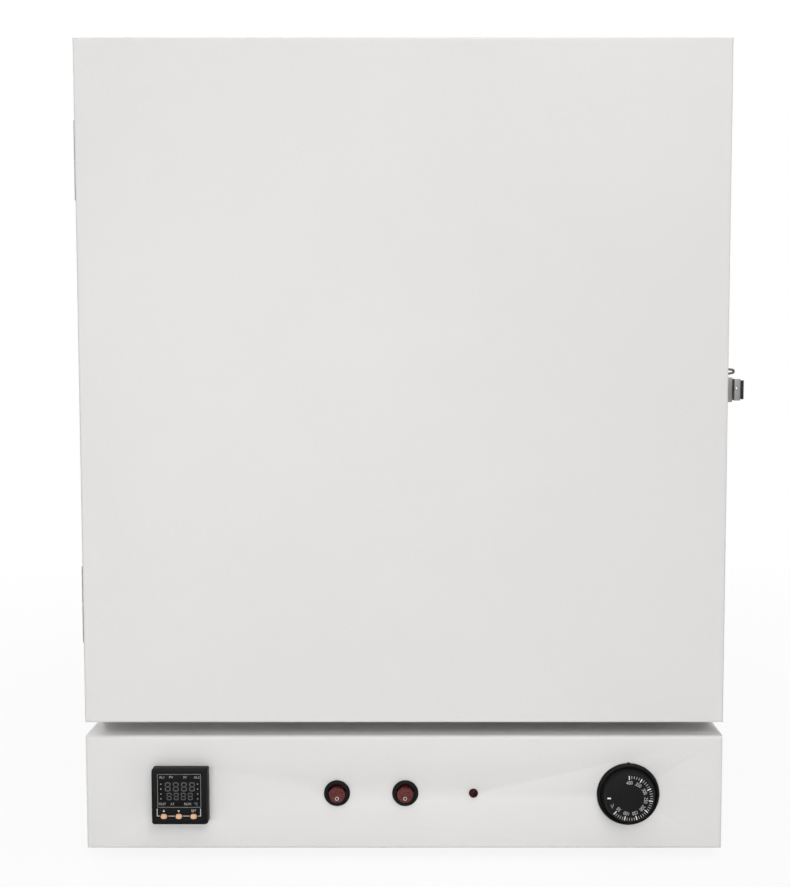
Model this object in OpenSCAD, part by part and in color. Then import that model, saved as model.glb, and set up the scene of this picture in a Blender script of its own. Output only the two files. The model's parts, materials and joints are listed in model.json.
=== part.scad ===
// Bench dry heat sterilizer: a cabinet with a side hung front door on a control base.
// Lengths are millimetres. The front faces -Y, +Z is up, and the origin is the centre of the footprint.
// A place is written as x across, d behind the front plane of the door, and z above the bench.

/* [Casing] */
// Width of the door, the cabinet and the control base
body_w = 560; // [540:5:600]
// Height of the door
door_h = 590; // [570:5:640]
// Thickness of the door, from its face to the back of its tray
door_t = 50; // [46:1:60]
// Height of the control base without its feet
base_h = 101; // [96:1:115]
// Gap between the lower edge of the door and the top of the base
door_gap = 12; // [8:1:18]
// Gap between the back of the door and the front of the cabinet, which the seal fills
seal_gap = 6; // [5:0.5:8]
// Depth of the cabinet behind the seal gap
cabinet_depth = 470; // [460:5:520]
// Thickness of the painted steel sheet
sheet = 1.5; // [1.2:0.1:1.8]
// Outside radius of the folded front edges
bend_r = 3; // [2.4:0.1:4]
// Height of the rubber feet below the base
foot_h = 9; // [6:1:15]
// Radius of a rubber foot
foot_r = 15; // [12:0.5:18]
// Distance of a foot's centre from the sides and from the front and back
foot_inset = 45; // [40:1:60]

/* [Chamber] */
// Clear width of the chamber
chamber_w = 400; // [380:5:420]
// Clear height of the chamber
chamber_h = 450; // [430:5:470]
// Clear depth of the chamber
chamber_depth = 390; // [380:5:400]
// Thickness of the stainless lining
liner = 1.2; // [1:0.1:1.5]
// Height of the perforated plate above the chamber's floor
plate_h = 45; // [40:1:55]
// Radius of the holes in the perforated plate
plate_hole_r = 6; // [3:0.5:8]
// Distance between the shelf runners
runner_pitch = 60; // [50:1:64]
// Number of shelf runners on each side
runner_count = 6; // [5:1:6]
// Height of the lowest runner above the chamber's floor
runner_h = 78; // [74:1:84]
// Depth of a wire shelf
shelf_depth = 310; // [290:5:315]
// Radius of the shelf's frame rod
shelf_rod_r = 3; // [2.5:0.1:3.5]
// Radius of the shelf's wires
shelf_wire_r = 1.5; // [1:0.1:2]
// Number of wires on a shelf
shelf_wires = 15; // [9:1:19]

/* [Heater] */
// Radius of the heater's metal sheath
heater_r = 4; // [3:0.5:5]
// Distance between two straight runs of the heater
heater_pitch = 100; // [80:2:106]
// Height of the heater above the chamber's floor
heater_h = 22; // [18:1:28]
// Radius of the temperature probe's sheath
probe_r = 2.5; // [2:0.1:3]
// Radius of the thermostat's bulb
bulb_r = 3; // [2.5:0.1:3.5]
// Distance of the probe and of the bulb from the middle of the chamber
probe_x = 100; // [85:1:110]

/* [Exhaust] */
// Outside radius of the exhaust spigot on the back
spigot_r = 16; // [14:0.5:20]
// Wall of the exhaust spigot
spigot_wall = 1.5; // [1.2:0.1:2]
// How far the spigot stands out of the back
spigot_reach = 30; // [28:1:45]
// Distance of the spigot below the chamber's ceiling
spigot_drop = 42; // [36:1:60]

/* [Control panel] */
// Height of the row of controls above the base's lower edge
row_h = 50.2; // [49:0.2:53]
// Distance of the controller and of the dial from the middle
panel_reach = 197; // [190:1:205]
// Distance between the two switches, and from the right one to the lamp
switch_pitch = 60; // [50:1:66]
// Side of the square controller
controller_w = 48; // [46:0.5:50]
// How far the controller stands out of the panel
controller_out = 11; // [9:0.5:13]
// How far the controller's centre lies below the row
controller_drop = 0; // [-1:0.5:3]
// Travel of a controller button
button_travel = 0.8; // [0.4:0.1:0.9]
// Outside radius of a rocker switch's bezel
switch_r = 11.5; // [10.8:0.1:13]
// Radius of a switch's rocker
rocker_r = 7.2; // [6.6:0.1:7.4]
// Angle of a rocker to each side of level
rocker_tilt = 10; // [6:1:10]
// Radius of the lamp's lens
lamp_r = 4; // [3.6:0.1:5]
// Outside radius of the dial's bezel
dial_bezel_r = 27.6; // [25:0.2:30]
// Radius of the dial's face
dial_r = 21.8; // [20:0.2:22.4]
// How far the dial's face stands out of the panel
dial_out = 12; // [11:0.5:18]
// Radius of the thermostat's shaft
shaft_r = 3; // [2.5:0.1:3.5]

/* [Hinges and latch] */
// Radius of a hinge's knuckle
knuckle_r = 7; // [6:0.5:7]
// Radius of a hinge pin
hinge_pin_r = 4; // [3:0.1:4.2]
// Height of a hinge
hinge_h = 70; // [60:1:90]
// Distance of a hinge's centre from the door's upper or lower edge
hinge_inset = 95; // [80:1:120]
// Distance of the hinge axis outside the casing's side
hinge_out = 8; // [8:0.2:9]
// Height of the keeper plate
keeper_h = 22; // [20:0.5:26]
// Distance of the keeper's flange behind the door's face
keeper_d = 38; // [34:0.5:40]
// How far the keeper's flange stands out of the door's side
keeper_out = 12.4; // [11:0.1:15]
// Radius of the latch's pivot pin
latch_pin_r = 2.5; // [2:0.1:3]
// Distance of the latch's pivot behind the keeper
claw_reach = 36; // [34:0.5:44]
// How far the claw laps over the keeper when it is latched
claw_lap = 3.1; // [2:0.1:3.6]
// How far the latch lies below the middle of the door
latch_drop = 4; // [0:1:30]

/* [Hidden] */
$fn = 48;
// Play between pieces that are assembled, and the running play of pins
play = 0.2;
run = 0.05;
// Past a face by this much, a cut goes clean through it
past = 1;

half_w = body_w / 2;
total_d = door_t + seal_gap + cabinet_depth;
front_y = -(total_d + spigot_reach - dial_out) / 2;
base_z0 = foot_h;
base_z1 = base_z0 + base_h;
door_z0 = base_z1 + door_gap;
door_z1 = door_z0 + door_h;
mid_z = (door_z0 + door_z1) / 2;
cab_d = door_t + seal_gap;
skin_x = half_w - sheet - play;
lip = 16;
frame_lip = 12;

in_x = chamber_w / 2;
in_z0 = mid_z - chamber_h / 2;
in_z1 = mid_z + chamber_h / 2;
in_d1 = cab_d + chamber_depth;
out_x = in_x + liner;
wool_d0 = cab_d + frame_lip + play;
wool_d1 = total_d - 2 * sheet - play;

runner_w = 14.7;
runner_up = 8;
post_w = 12;
post_t = 3;
rack_x = in_x - 2 * play - post_t;
shelf_x = in_x - 7;
shelf_travel = 28;
shelf_d0 = cab_d + 8 + shelf_travel;
shelf_d1 = shelf_d0 + shelf_depth;
lower_level = 1;
upper_level = 4;

heater_z = in_z0 + heater_h;
heater_d0 = cab_d + heater_pitch / 2 + heater_r + 12;
leg_d = in_d1 - 21;
leg_bend = 15;
leg_z = base_z1 - 14;
bushing_r = 7.5;
probe_d = in_d1 - 16;
probe_hole_r = 4;
probe_top = in_z0 + 208;
bulb_l = 110;
bulb_z = in_z0 + 60;
clip_z = in_z0 + 150;

spigot_z = in_z1 - spigot_drop;
damper_d = total_d + 15;
damper_r = spigot_r - spigot_wall - 0.3;
damper_shaft_r = 2;
neck_r = spigot_r - 0.4;

row_z = base_z0 + row_h;
controller_x = 1.3 - panel_reach;
controller_z = row_z - controller_drop;
dial_x = panel_reach;
dial_z = row_z - 0.6;
mains_x = 1 - switch_pitch;
heat_x = 1;
lamp_x = 1 + switch_pitch;
bezel_wall = 2;
case_w = controller_w - 3.4;
window_w = 38;
window_h = 29.6;
window_up = 5.8;
window_t = 1;
button_w = 5.4;
button_h = 4.2;
button_x = [-13.5, -0.5, 12.5];
button_down = 16.9;
button_r = 1.9;
rocker_bore = rocker_r + 1;
rocker_d = 2;
thermo_d = 30;

knuckle_d = door_t + seal_gap / 2;
hinge_x = -half_w - hinge_out;
hinge_zs = [door_z0 + hinge_inset, door_z1 - hinge_inset];
leaf_t = 2.5;
leaf_l = 38;
screw_r = 2;
head_r = 3.6;
head_t = 2.2;

latch_z = mid_z - latch_drop;
claw_half = 9.6;
grip_half = claw_half - 1.2;
claw_t = 2;
claw_clear = 0.8;
keeper_t = 2;
latch_x = half_w + keeper_out - 3.2;
latch_d = keeper_d - 2 + claw_reach;
arm_x0 = half_w + keeper_out + 0.4;
nose_x0 = half_w + keeper_out - claw_lap;
nose_d1 = keeper_d - 0.5;
nose_t = 3;
// The claw rests swung out until its nose clears the keeper
claw_rest = asin((claw_lap + claw_clear) / (latch_d - nose_d1));
ear_t = 2;
ear_z = claw_half + 0.3;
pin_top = latch_z + claw_half + 5.8;
clip_r = 0.9;

inlet_x = half_w - 80;
inlet_w = 28;
inlet_h = 52;
inlet_l = 28;
socket_w = 24.4;
socket_h = 16.4;
socket_l = 17;
drawer_w = 20;
drawer_h = 13;
drawer_l = 20;

floor_z = base_z0 + 2 * sheet;
relay_x = -60;
relay_d = 300;
block_x = 60;
block_d = 320;
loom_r = 3;
wire_r = 1.5;

paint = [0.89, 0.885, 0.88];
steel = [0.74, 0.75, 0.76];
black = [0.1, 0.1, 0.1];

// A box from one corner to the other
module block(x, d, z) {
    translate([x[0], front_y + d[0], z[0]]) cube([x[1] - x[0], d[1] - d[0], z[1] - z[0]]);
}

// Round bars: upright, across, and from front to back
module upright(x, d, z, r) {
    translate([x, front_y + d, z[0]]) cylinder(r = r, h = z[1] - z[0]);
}

module across(x, d, z, r) {
    translate([x[0], front_y + d, z]) rotate([0, 90, 0]) cylinder(r = r, h = x[1] - x[0]);
}

module inward(x, d, z, r) {
    translate([x, front_y + d[0], z]) rotate([-90, 0, 0]) cylinder(r = r, h = d[1] - d[0]);
}

// Tapered round from front to back
module inward_cone(x, d, z, r0, r1) {
    translate([x, front_y + d[0], z]) rotate([-90, 0, 0]) cylinder(r1 = r0, r2 = r1, h = d[1] - d[0]);
}

// A flat ring of sheet round a rectangular opening
module sheet_ring(x, z, inner_x, inner_z, d) {
    difference() {
        block([-x, x], d, z);
        block([-inner_x, inner_x], [d[0] - past, d[1] + past], inner_z);
    }
}

// Outline whose two front corners are rounded
module front_rounded(w, t, r) {
    translate([-w / 2, r]) square([w, t - r]);
    translate([r - w / 2, 0]) square([w - 2 * r, t / 2]);
    for (side = [-1, 1]) {
        translate([side * (w / 2 - r), r]) circle(r = r);
    }
}

// A folded sheet body whose front edges are rounded
module folded_body(w, d, z, r) {
    t = d[1] - d[0];
    h = z[1] - z[0];
    translate([0, front_y + d[0], 0]) intersection() {
        translate([0, 0, z[0]]) linear_extrude(h) front_rounded(w, t, r);
        translate([-w / 2, 0, z[0] + h / 2]) rotate([0, 90, 0]) {
            linear_extrude(w) front_rounded(h, t, r);
        }
    }
}

// Outline in x and z, drawn out from d[0] to d[1]
module drawn_back(d) {
    translate([0, front_y + d[1], 0]) rotate([90, 0, 0]) linear_extrude(d[1] - d[0]) children();
}

// A rectangle with rounded corners
module rounded(w, h, r) {
    square([w - 2 * r, h], center = true);
    square([w, h - 2 * r], center = true);
    for (sx = [-1, 1], sy = [-1, 1]) {
        translate([sx * (w / 2 - r), sy * (h / 2 - r)]) circle(r = r);
    }
}

// Tube through a list of points, with a small ball at each corner
module tube_run(points, r) {
    for (i = [0 : len(points) - 2]) {
        v = points[i + 1] - points[i];
        translate(points[i]) rotate([0, acos(v.z / norm(v)), atan2(v.y, v.x)]) {
            cylinder(r = r, h = norm(v));
        }
    }
    if (len(points) > 2) {
        for (i = [1 : len(points) - 2]) {
            translate(points[i]) sphere(r = 1.25 * r);
        }
    }
}

function place(x, d, z) = [x, front_y + d, z];

// Pan head screws: driven up, inward from the back, and in from a side (side = 1 right, -1 left)
module screw_up(x, d, z, l) {
    upright(x, d, [z - head_t, z], head_r);
    upright(x, d, [z - head_t / 2, z + l], screw_r);
}

module screw_back(x, d, z, l) {
    inward(x, [d, d + head_t], z, head_r);
    inward(x, [d - l, d + head_t / 2], z, screw_r);
}

module screw_side(side, x, d, z, l) {
    mirror([side > 0 ? 0 : 1, 0, 0]) {
        across([x, x + head_t], d, z, head_r);
        across([x - l, x + head_t / 2], d, z, screw_r);
    }
}

// Places of the screws that hold the sheets
base_screw_ds = [60, total_d / 2, total_d - 60];
bottom_screw_x = half_w - sheet - 8;
back_screw_x = half_w - sheet - 8;
cab_screw_zs = [base_z1 + 30, mid_z, door_z1 - 30];
hinge_screw_rise = [-hinge_h / 2 + 9, hinge_h / 2 - 9];
cab_hinge_screw_d = cab_d + 22;
door_hinge_screw_d = door_t - 22;
bracket_screw_rise = 15;
keeper_screw_d = keeper_d - 10;

// The holes that the heater's legs and the two sensors need, through what lies between z[0] and z[1]
module service_holes(z, leg_r, sensor_r) {
    for (side = [-1, 1]) {
        upright(side * 1.5 * heater_pitch, leg_d, z, leg_r);
        upright(side * probe_x, probe_d, z, sensor_r);
    }
}

// Control base

module panel_cuts() {
    through = [-past, sheet + past];
    hole_w = controller_w - 2.6;
    block([controller_x - hole_w / 2, controller_x + hole_w / 2], through,
          [controller_z - hole_w / 2, controller_z + hole_w / 2]);
    inward(mains_x, through, row_z, switch_r - 1.3);
    inward(heat_x, through, row_z, switch_r - 1.3);
    inward(lamp_x, through, row_z, lamp_r - 0.8);
    inward(dial_x, through, dial_z, shaft_r + 1.6);
}

module base_shell() {
    color(paint) difference() {
        union() {
            difference() {
                folded_body(body_w, [0, total_d], [base_z0, base_z1], bend_r);
                folded_body(body_w - 2 * sheet, [sheet, total_d + past],
                            [base_z0 + sheet, base_z1 - sheet],
                            bend_r - sheet);
                block([lip - half_w, half_w - lip], [lip, total_d - lip],
                      [base_z0 - past, base_z0 + sheet + past]);
            }
            sheet_ring(half_w - sheet / 2, [base_z0 + sheet / 2, base_z1 - sheet / 2], half_w - lip,
                       [base_z0 + lip, base_z1 - lip], [total_d - 2 * sheet, total_d - sheet]);
        }
        block([-half_w + sheet, half_w - sheet], [total_d - sheet, total_d + past],
              [base_z0 - past, base_z1 - sheet]);
        panel_cuts();
        service_holes([base_z1 - sheet - past, base_z1 + past], bushing_r + play, probe_hole_r);
        for (side = [-1, 1], d = base_screw_ds) {
            upright(side * bottom_screw_x, d, [base_z0 - past, base_z0 + sheet + past], screw_r + 0.1);
        }
        for (side = [-1, 1], z = [base_z0 + 26, base_z1 - 26]) {
            inward(side * back_screw_x, [total_d - 3 * sheet, total_d], z, screw_r + 0.1);
        }
    }
}

module base_bottom() {
    color(steel) difference() {
        block([-skin_x, skin_x], [bend_r + play, total_d - 2 * sheet - play],
              [base_z0 + sheet, floor_z]);
        for (side = [-1, 1], d = base_screw_ds) {
            upright(side * bottom_screw_x, d, [base_z0, floor_z + past], screw_r + 0.1);
        }
        for (i = [-4 : 4]) {
            block([i * 14 - 2, i * 14 + 2], [total_d - 130, total_d - 70], [base_z0, floor_z + past]);
        }
    }
}

module base_back() {
    color(paint) difference() {
        block([-skin_x, skin_x], [total_d - sheet, total_d],
              [base_z0 + sheet + play, base_z1 - sheet - play]);
        block([inlet_x - inlet_w / 2 - play, inlet_x + inlet_w / 2 + play],
              [total_d - sheet - past, total_d + past],
              [row_z - inlet_h / 2 - play, row_z + inlet_h / 2 + play]);
        for (side = [-1, 1], z = [base_z0 + 26, base_z1 - 26]) {
            inward(side * back_screw_x, [total_d - sheet - past, total_d + past], z, screw_r + 0.1);
        }
        for (i = [-5 : 5]) {
            block([i * 14 - 102, i * 14 - 98], [total_d - sheet - past, total_d + past],
                  [row_z - 22, row_z + 22]);
        }
    }
}

module base_screws() {
    color(steel) {
        for (side = [-1, 1], d = base_screw_ds) {
            screw_up(side * bottom_screw_x, d, base_z0, 2 * sheet + 4);
        }
        for (side = [-1, 1], z = [base_z0 + 26, base_z1 - 26]) {
            screw_back(side * back_screw_x, total_d, z, 2 * sheet + 4);
        }
    }
}

module feet() {
    color(black) for (side = [-1, 1], d = [foot_inset, total_d - foot_inset]) {
        translate([side * (half_w - foot_inset), front_y + d, 0]) difference() {
            cylinder(r1 = foot_r - 1.5, r2 = foot_r, h = base_z0 + sheet);
            translate([0, 0, -past]) cylinder(r = foot_r / 3, h = foot_h / 2 + past);
        }
    }
}

// Controller

module controller_square(w, d, r) {
    translate([controller_x, 0, controller_z]) drawn_back(d) rounded(w, w, r);
}

module button_place(i) {
    translate([controller_x + button_x[i], 0, controller_z - button_down]) children();
}

module controller_bezel() {
    front = -controller_out;
    color(black) difference() {
        union() {
            controller_square(controller_w + 0.8, [front + 2.4, 0], 1.5);
            controller_square(controller_w, [front, -2], 2.2);
        }
        controller_square(controller_w - 2 * bezel_wall, [front + bezel_wall, past], 0.8);
        translate([controller_x, 0, controller_z + window_up]) {
            drawn_back([front - past, front + window_t + play]) {
                rounded(window_w + play, window_h + play, 1);
            }
        }
        for (i = [0 : 2]) {
            button_place(i) drawn_back([front - past, front + bezel_wall + past]) {
                rounded(button_w + 2 * play, button_h + 2 * play, button_r + play);
            }
        }
    }
}

module controller_case() {
    color([0.16, 0.16, 0.17]) {
        controller_square(controller_w - 2 * bezel_wall - 2 * play, [-4, sheet], 0.6);
        controller_square(case_w, [0, 70], 1);
        // Spring clips that hold the case behind the panel
        block([controller_x - case_w / 2 - 3, controller_x + case_w / 2 + 3], [sheet + 0.1, sheet + 5],
              [controller_z - 9, controller_z + 9]);
    }
}

module controller_window() {
    front = -controller_out;
    color([0.05, 0.05, 0.06]) translate([controller_x, 0, controller_z + window_up]) {
        drawn_back([front + play, front + window_t + play]) rounded(window_w, window_h, 1);
    }
}

module controller_button(i) {
    front = -controller_out;
    color([0.93, 0.72, 0.55]) button_place(i) {
        drawn_back([front - button_travel - play, front + bezel_wall + play + 1]) {
            rounded(button_w, button_h, button_r);
        }
        drawn_back([front + bezel_wall + play, front + bezel_wall + play + 1]) {
            rounded(button_w + 1.6, button_h + 1.6, button_r);
        }
    }
}

module button_up() {
    controller_button(0);
}

module button_down_key() {
    controller_button(1);
}

module button_set() {
    controller_button(2);
}

// Rocker switches, the lamp and the thermostat's dial

module switch_body(x) {
    difference() {
        union() {
            inward_cone(x, [-2, -0.8], row_z, switch_r - 0.8, switch_r);
            inward(x, [-0.8, 0], row_z, switch_r);
            inward(x, [-0.4, 20], row_z, switch_r - 1.5);
            for (side = [-1, 1]) {
                block([x - 2.4, x + 2.4], [19, 27], [row_z + side * 5 - 0.4, row_z + side * 5 + 0.4]);
            }
        }
        inward(x, [-3, 12], row_z, rocker_bore);
        across([x - rocker_bore - 1, x + rocker_bore + 1], rocker_d, row_z, 1.2 + run);
    }
}

module switch_bodies() {
    color(black) {
        switch_body(mains_x);
        switch_body(heat_x);
    }
}

// The rocker's face is a shallow V, and it tips about a pin across the bezel
module rocker(x) {
    color([0.75, 0.05, 0.05]) translate([x, front_y + rocker_d, row_z]) rotate([rocker_tilt, 0, 0]) {
        difference() {
            union() {
                rotate([90, 0, 0]) cylinder(r = rocker_r, h = 5.4);
                translate([0, 6, 0]) rotate([90, 0, 0]) cylinder(r = rocker_r - 1.8, h = 7);
                translate([-rocker_bore - 0.8, 0, 0]) rotate([0, 90, 0]) {
                    cylinder(r = 1.2, h = 2 * rocker_bore + 1.6);
                }
            }
            translate([-10, -18.1, 0]) rotate([0, 90, 0]) cylinder(r = 14, h = 20);
        }
    }
}

module rocker_mains() {
    rocker(mains_x);
}

module rocker_heater() {
    rocker(heat_x);
}

module heating_lamp() {
    color([0.45, 0.03, 0.03]) {
        inward(lamp_x, [-1, 0], row_z, lamp_r);
        inward_cone(lamp_x, [-2.6, -1], row_z, lamp_r - 1.4, lamp_r - 0.4);
        inward(lamp_x, [-0.5, 18], row_z, lamp_r - 1);
        inward(lamp_x, [sheet, sheet + 2.5], row_z, lamp_r + 1);
    }
}

module thermostat_body() {
    color(steel) difference() {
        union() {
            block([dial_x - 18, dial_x + 18], [sheet + 2, thermo_d], [dial_z - 22, dial_z + 22]);
            inward(dial_x, [0, sheet + 3], dial_z, shaft_r + 1.4);
            for (side = [-1, 1]) {
                inward(dial_x + side * 14, [sheet, sheet + 3], dial_z, 3.5);
            }
        }
        inward(dial_x, [-past, 16], dial_z, shaft_r + run);
    }
}

module thermostat_shaft() {
    color(steel) inward(dial_x, [3 - dial_out, 15.5], dial_z, shaft_r);
}

module dial_bezel() {
    color(black) difference() {
        union() {
            inward_cone(dial_x, [-3.2, -2], dial_z, dial_bezel_r - 1.6, dial_bezel_r);
            inward(dial_x, [-2, 0], dial_z, dial_bezel_r);
            // Pointer that the dial's scale is read against
            block([dial_x - 1, dial_x + 1], [-2, 0],
                  [dial_z + dial_bezel_r - 1, dial_z + dial_bezel_r + 0.8]);
        }
        inward(dial_x, [-4, past], dial_z, shaft_r + 4);
        inward(dial_x, [-4, -1.6], dial_z, dial_r + 1.8);
    }
}

module dial_knob() {
    color([0.13, 0.13, 0.13]) difference() {
        union() {
            inward_cone(dial_x, [-dial_out, 0.8 - dial_out], dial_z, dial_r - 0.8, dial_r);
            inward_cone(dial_x, [0.8 - dial_out, -1.9], dial_z, dial_r, dial_r + 1.4);
            inward(dial_x, [-1.9 - play, -play], dial_z, shaft_r + 3.6);
        }
        inward(dial_x, [3 - dial_out - play, past], dial_z, shaft_r + run);
        difference() {
            inward(dial_x, [4 - dial_out, -1.7], dial_z, dial_r - 2);
            inward(dial_x, [-dial_out, 0], dial_z, shaft_r + 3.6);
        }
    }
}

module thermostat_bulb() {
    start_z = dial_z + 12;
    color([0.72, 0.45, 0.3]) {
        tube_run([place(dial_x, thermo_d, start_z), place(dial_x, probe_d, start_z),
                  place(probe_x, probe_d, start_z),
                  place(probe_x, probe_d, bulb_z + 2)], 1);
        upright(probe_x, probe_d, [bulb_z, bulb_z + bulb_l], bulb_r);
        upright(probe_x, probe_d, [base_z1 - sheet - 6, base_z1 - sheet], probe_hole_r + 2);
    }
}

module temperature_probe() {
    color(steel) {
        upright(-probe_x, probe_d, [leg_z - 10, probe_top], probe_r);
        upright(-probe_x, probe_d, [base_z1 - sheet - 6, base_z1 - sheet], probe_hole_r + 2);
    }
}

// What the base holds

module relay() {
    color([0.2, 0.2, 0.22]) {
        block([relay_x - 30, relay_x + 30], [relay_d - 23, relay_d + 23], [floor_z, floor_z + 24]);
        for (sx = [-1, 1], sd = [-1, 1]) {
            upright(relay_x + sx * 22, relay_d + sd * 16, [floor_z + 23, floor_z + 26], 3.5);
        }
    }
}

module terminal_block() {
    color([0.85, 0.85, 0.82]) difference() {
        block([block_x - 40, block_x + 40], [block_d - 11, block_d + 11], [floor_z, floor_z + 18]);
        for (i = [-3 : 3]) {
            upright(block_x + i * 11, block_d, [floor_z + 10, floor_z + 19], 3);
        }
    }
}

module inlet() {
    back = total_d;
    color(black) {
        difference() {
            union() {
                block([inlet_x - inlet_w / 2, inlet_x + inlet_w / 2], [back - inlet_l, back],
                      [row_z - inlet_h / 2, row_z + inlet_h / 2]);
                block([inlet_x - inlet_w / 2 - 2.5, inlet_x + inlet_w / 2 + 2.5], [back, back + 2.5],
                      [row_z - inlet_h / 2 - 2.5, row_z + inlet_h / 2 + 2.5]);
            }
            block([inlet_x - socket_w / 2, inlet_x + socket_w / 2], [back + 2.5 - socket_l, back + 4],
                  [row_z - 22, row_z - 22 + socket_h]);
            block([inlet_x - drawer_w / 2 - play, inlet_x + drawer_w / 2 + play],
                  [back + 2 - drawer_l, back + 4],
                  [row_z + 4 - play, row_z + 4 + drawer_h + play]);
        }
        for (i = [-1 : 1]) {
            block([inlet_x + i * 7 - 1, inlet_x + i * 7 + 1], [back + 2 - socket_l, back],
                  [row_z - 16 - (i == 0 ? 0 : 2), row_z - 12 - (i == 0 ? 0 : 2)]);
        }
    }
}

module fuse_drawer() {
    back = total_d + 2.5;
    color([0.15, 0.15, 0.15]) {
        block([inlet_x - drawer_w / 2, inlet_x + drawer_w / 2], [back - drawer_l + 1, back + 0.3],
              [row_z + 4, row_z + 4 + drawer_h]);
        block([inlet_x - drawer_w / 2 - 1.5, inlet_x + drawer_w / 2 + 1.5], [back + 0.3, back + 1.8],
              [row_z + 3, row_z + 5 + drawer_h]);
    }
}

// Wires run along the floor of the base, and a branch rises to each thing they feed
module wiring_loom() {
    trunk_z = floor_z + loom_r + play;
    trunk_d = 86;
    trunk_x = 140;
    end_d = total_d - inlet_l - play;
    color([0.25, 0.25, 0.28]) {
        across([controller_x - 3, dial_x - 8], trunk_d, trunk_z, loom_r);
        tube_run([place(trunk_x, trunk_d, trunk_z), place(trunk_x, end_d - 30, trunk_z),
                  place(inlet_x, end_d - 30, trunk_z), place(inlet_x, end_d - 30, row_z),
                  place(inlet_x, end_d, row_z)], wire_r + 0.5);
        tube_run([place(trunk_x, block_d, trunk_z), place(block_x + 40 + play, block_d, trunk_z)],
                 wire_r);
        tube_run([place(controller_x, trunk_d, trunk_z), place(controller_x, trunk_d, controller_z),
                  place(controller_x, 70 + play, controller_z)], wire_r);
        for (x = [mains_x, heat_x]) {
            tube_run([place(x, trunk_d, trunk_z), place(x, trunk_d, row_z),
                      place(x, 20 + play, row_z)], wire_r);
        }
        tube_run([place(lamp_x, trunk_d, trunk_z), place(lamp_x, trunk_d, row_z),
                  place(lamp_x, 18 + play, row_z)], wire_r);
        tube_run([place(dial_x - 8, trunk_d, trunk_z), place(dial_x - 8, trunk_d, dial_z - 8),
                  place(dial_x - 8, thermo_d + play, dial_z - 8)], wire_r);
        tube_run([place(relay_x, trunk_d, trunk_z), place(relay_x, relay_d - 23 - play, trunk_z)],
                 wire_r);
        tube_run([place(relay_x, relay_d + 23 + play, trunk_z), place(relay_x, leg_d, trunk_z),
                  place(-1.5 * heater_pitch, leg_d, trunk_z),
                  place(-1.5 * heater_pitch, leg_d, leg_z - play)], wire_r);
        tube_run([place(trunk_x, leg_d, trunk_z), place(1.5 * heater_pitch, leg_d, trunk_z),
                  place(1.5 * heater_pitch, leg_d, leg_z - play)], wire_r);
    }
}

// Cabinet

module arch(w, z, r) {
    translate([-w / 2, z[0]]) square([w, z[1] - z[0] - r]);
    translate([r - w / 2, z[0]]) square([w - 2 * r, z[1] - z[0]]);
    for (side = [-1, 1]) {
        translate([side * (w / 2 - r), z[1] - r]) circle(r = r);
    }
}

module side_screw_holes(side, d, zs) {
    for (z = zs) {
        mirror([side > 0 ? 0 : 1, 0, 0]) {
            across([half_w - 3 * sheet, half_w + past], d, z, screw_r + 0.1);
        }
    }
}

module cabinet_shell() {
    color(paint) difference() {
        union() {
            difference() {
                drawn_back([cab_d, total_d]) arch(body_w, [base_z1, door_z1], bend_r);
                drawn_back([cab_d - past, total_d + past]) {
                    arch(body_w - 2 * sheet, [base_z1 - past, door_z1 - sheet], bend_r - sheet);
                }
            }
            difference() {
                drawn_back([total_d - 2 * sheet, total_d - sheet]) {
                    arch(body_w - sheet, [base_z1 + sheet + play, door_z1 - sheet / 2],
                         bend_r - sheet / 2);
                }
                block([lip - half_w, half_w - lip], [total_d - 3 * sheet, total_d],
                      [base_z1 + lip, door_z1 - lip]);
            }
        }
        for (z = hinge_zs) {
            side_screw_holes(-1, cab_hinge_screw_d, [for (rise = hinge_screw_rise) z + rise]);
        }
        side_screw_holes(1, latch_d + 16,
                         [latch_z - bracket_screw_rise + 7, latch_z + bracket_screw_rise - 7]);
        for (side = [-1, 1], z = cab_screw_zs) {
            inward(side * back_screw_x, [total_d - 3 * sheet, total_d], z, screw_r + 0.1);
        }
    }
}

module cabinet_floor() {
    color(steel) difference() {
        block([-skin_x, skin_x], [cab_d, wool_d1], [base_z1, base_z1 + sheet]);
        service_holes([base_z1 - past, base_z1 + sheet + past], bushing_r + play, probe_hole_r);
    }
}

module cabinet_back() {
    color(paint) difference() {
        block([-skin_x, skin_x], [total_d - sheet, total_d],
              [base_z1 + play, door_z1 - sheet - 4 * play]);
        inward(0, [total_d - sheet - past, total_d + past], spigot_z, neck_r + play);
        for (side = [-1, 1], z = cab_screw_zs) {
            inward(side * back_screw_x, [total_d - sheet - past, total_d + past], z, screw_r + 0.1);
        }
    }
}

module cabinet_screws() {
    color(steel) for (side = [-1, 1], z = cab_screw_zs) {
        screw_back(side * back_screw_x, total_d, z, 2 * sheet + play / 2);
    }
}

module front_frame() {
    z0 = base_z1 + sheet + play;
    z1 = door_z1 - sheet - 4 * play;
    color(steel) {
        sheet_ring(skin_x, [z0, z1], out_x + play, [in_z0 - liner - play, in_z1 + liner + play],
                   [cab_d, cab_d + sheet]);
        sheet_ring(skin_x, [z0, z1], skin_x - sheet, [z0 + sheet, z1 - sheet],
                   [cab_d + sheet / 2, cab_d + frame_lip]);
    }
}

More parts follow.
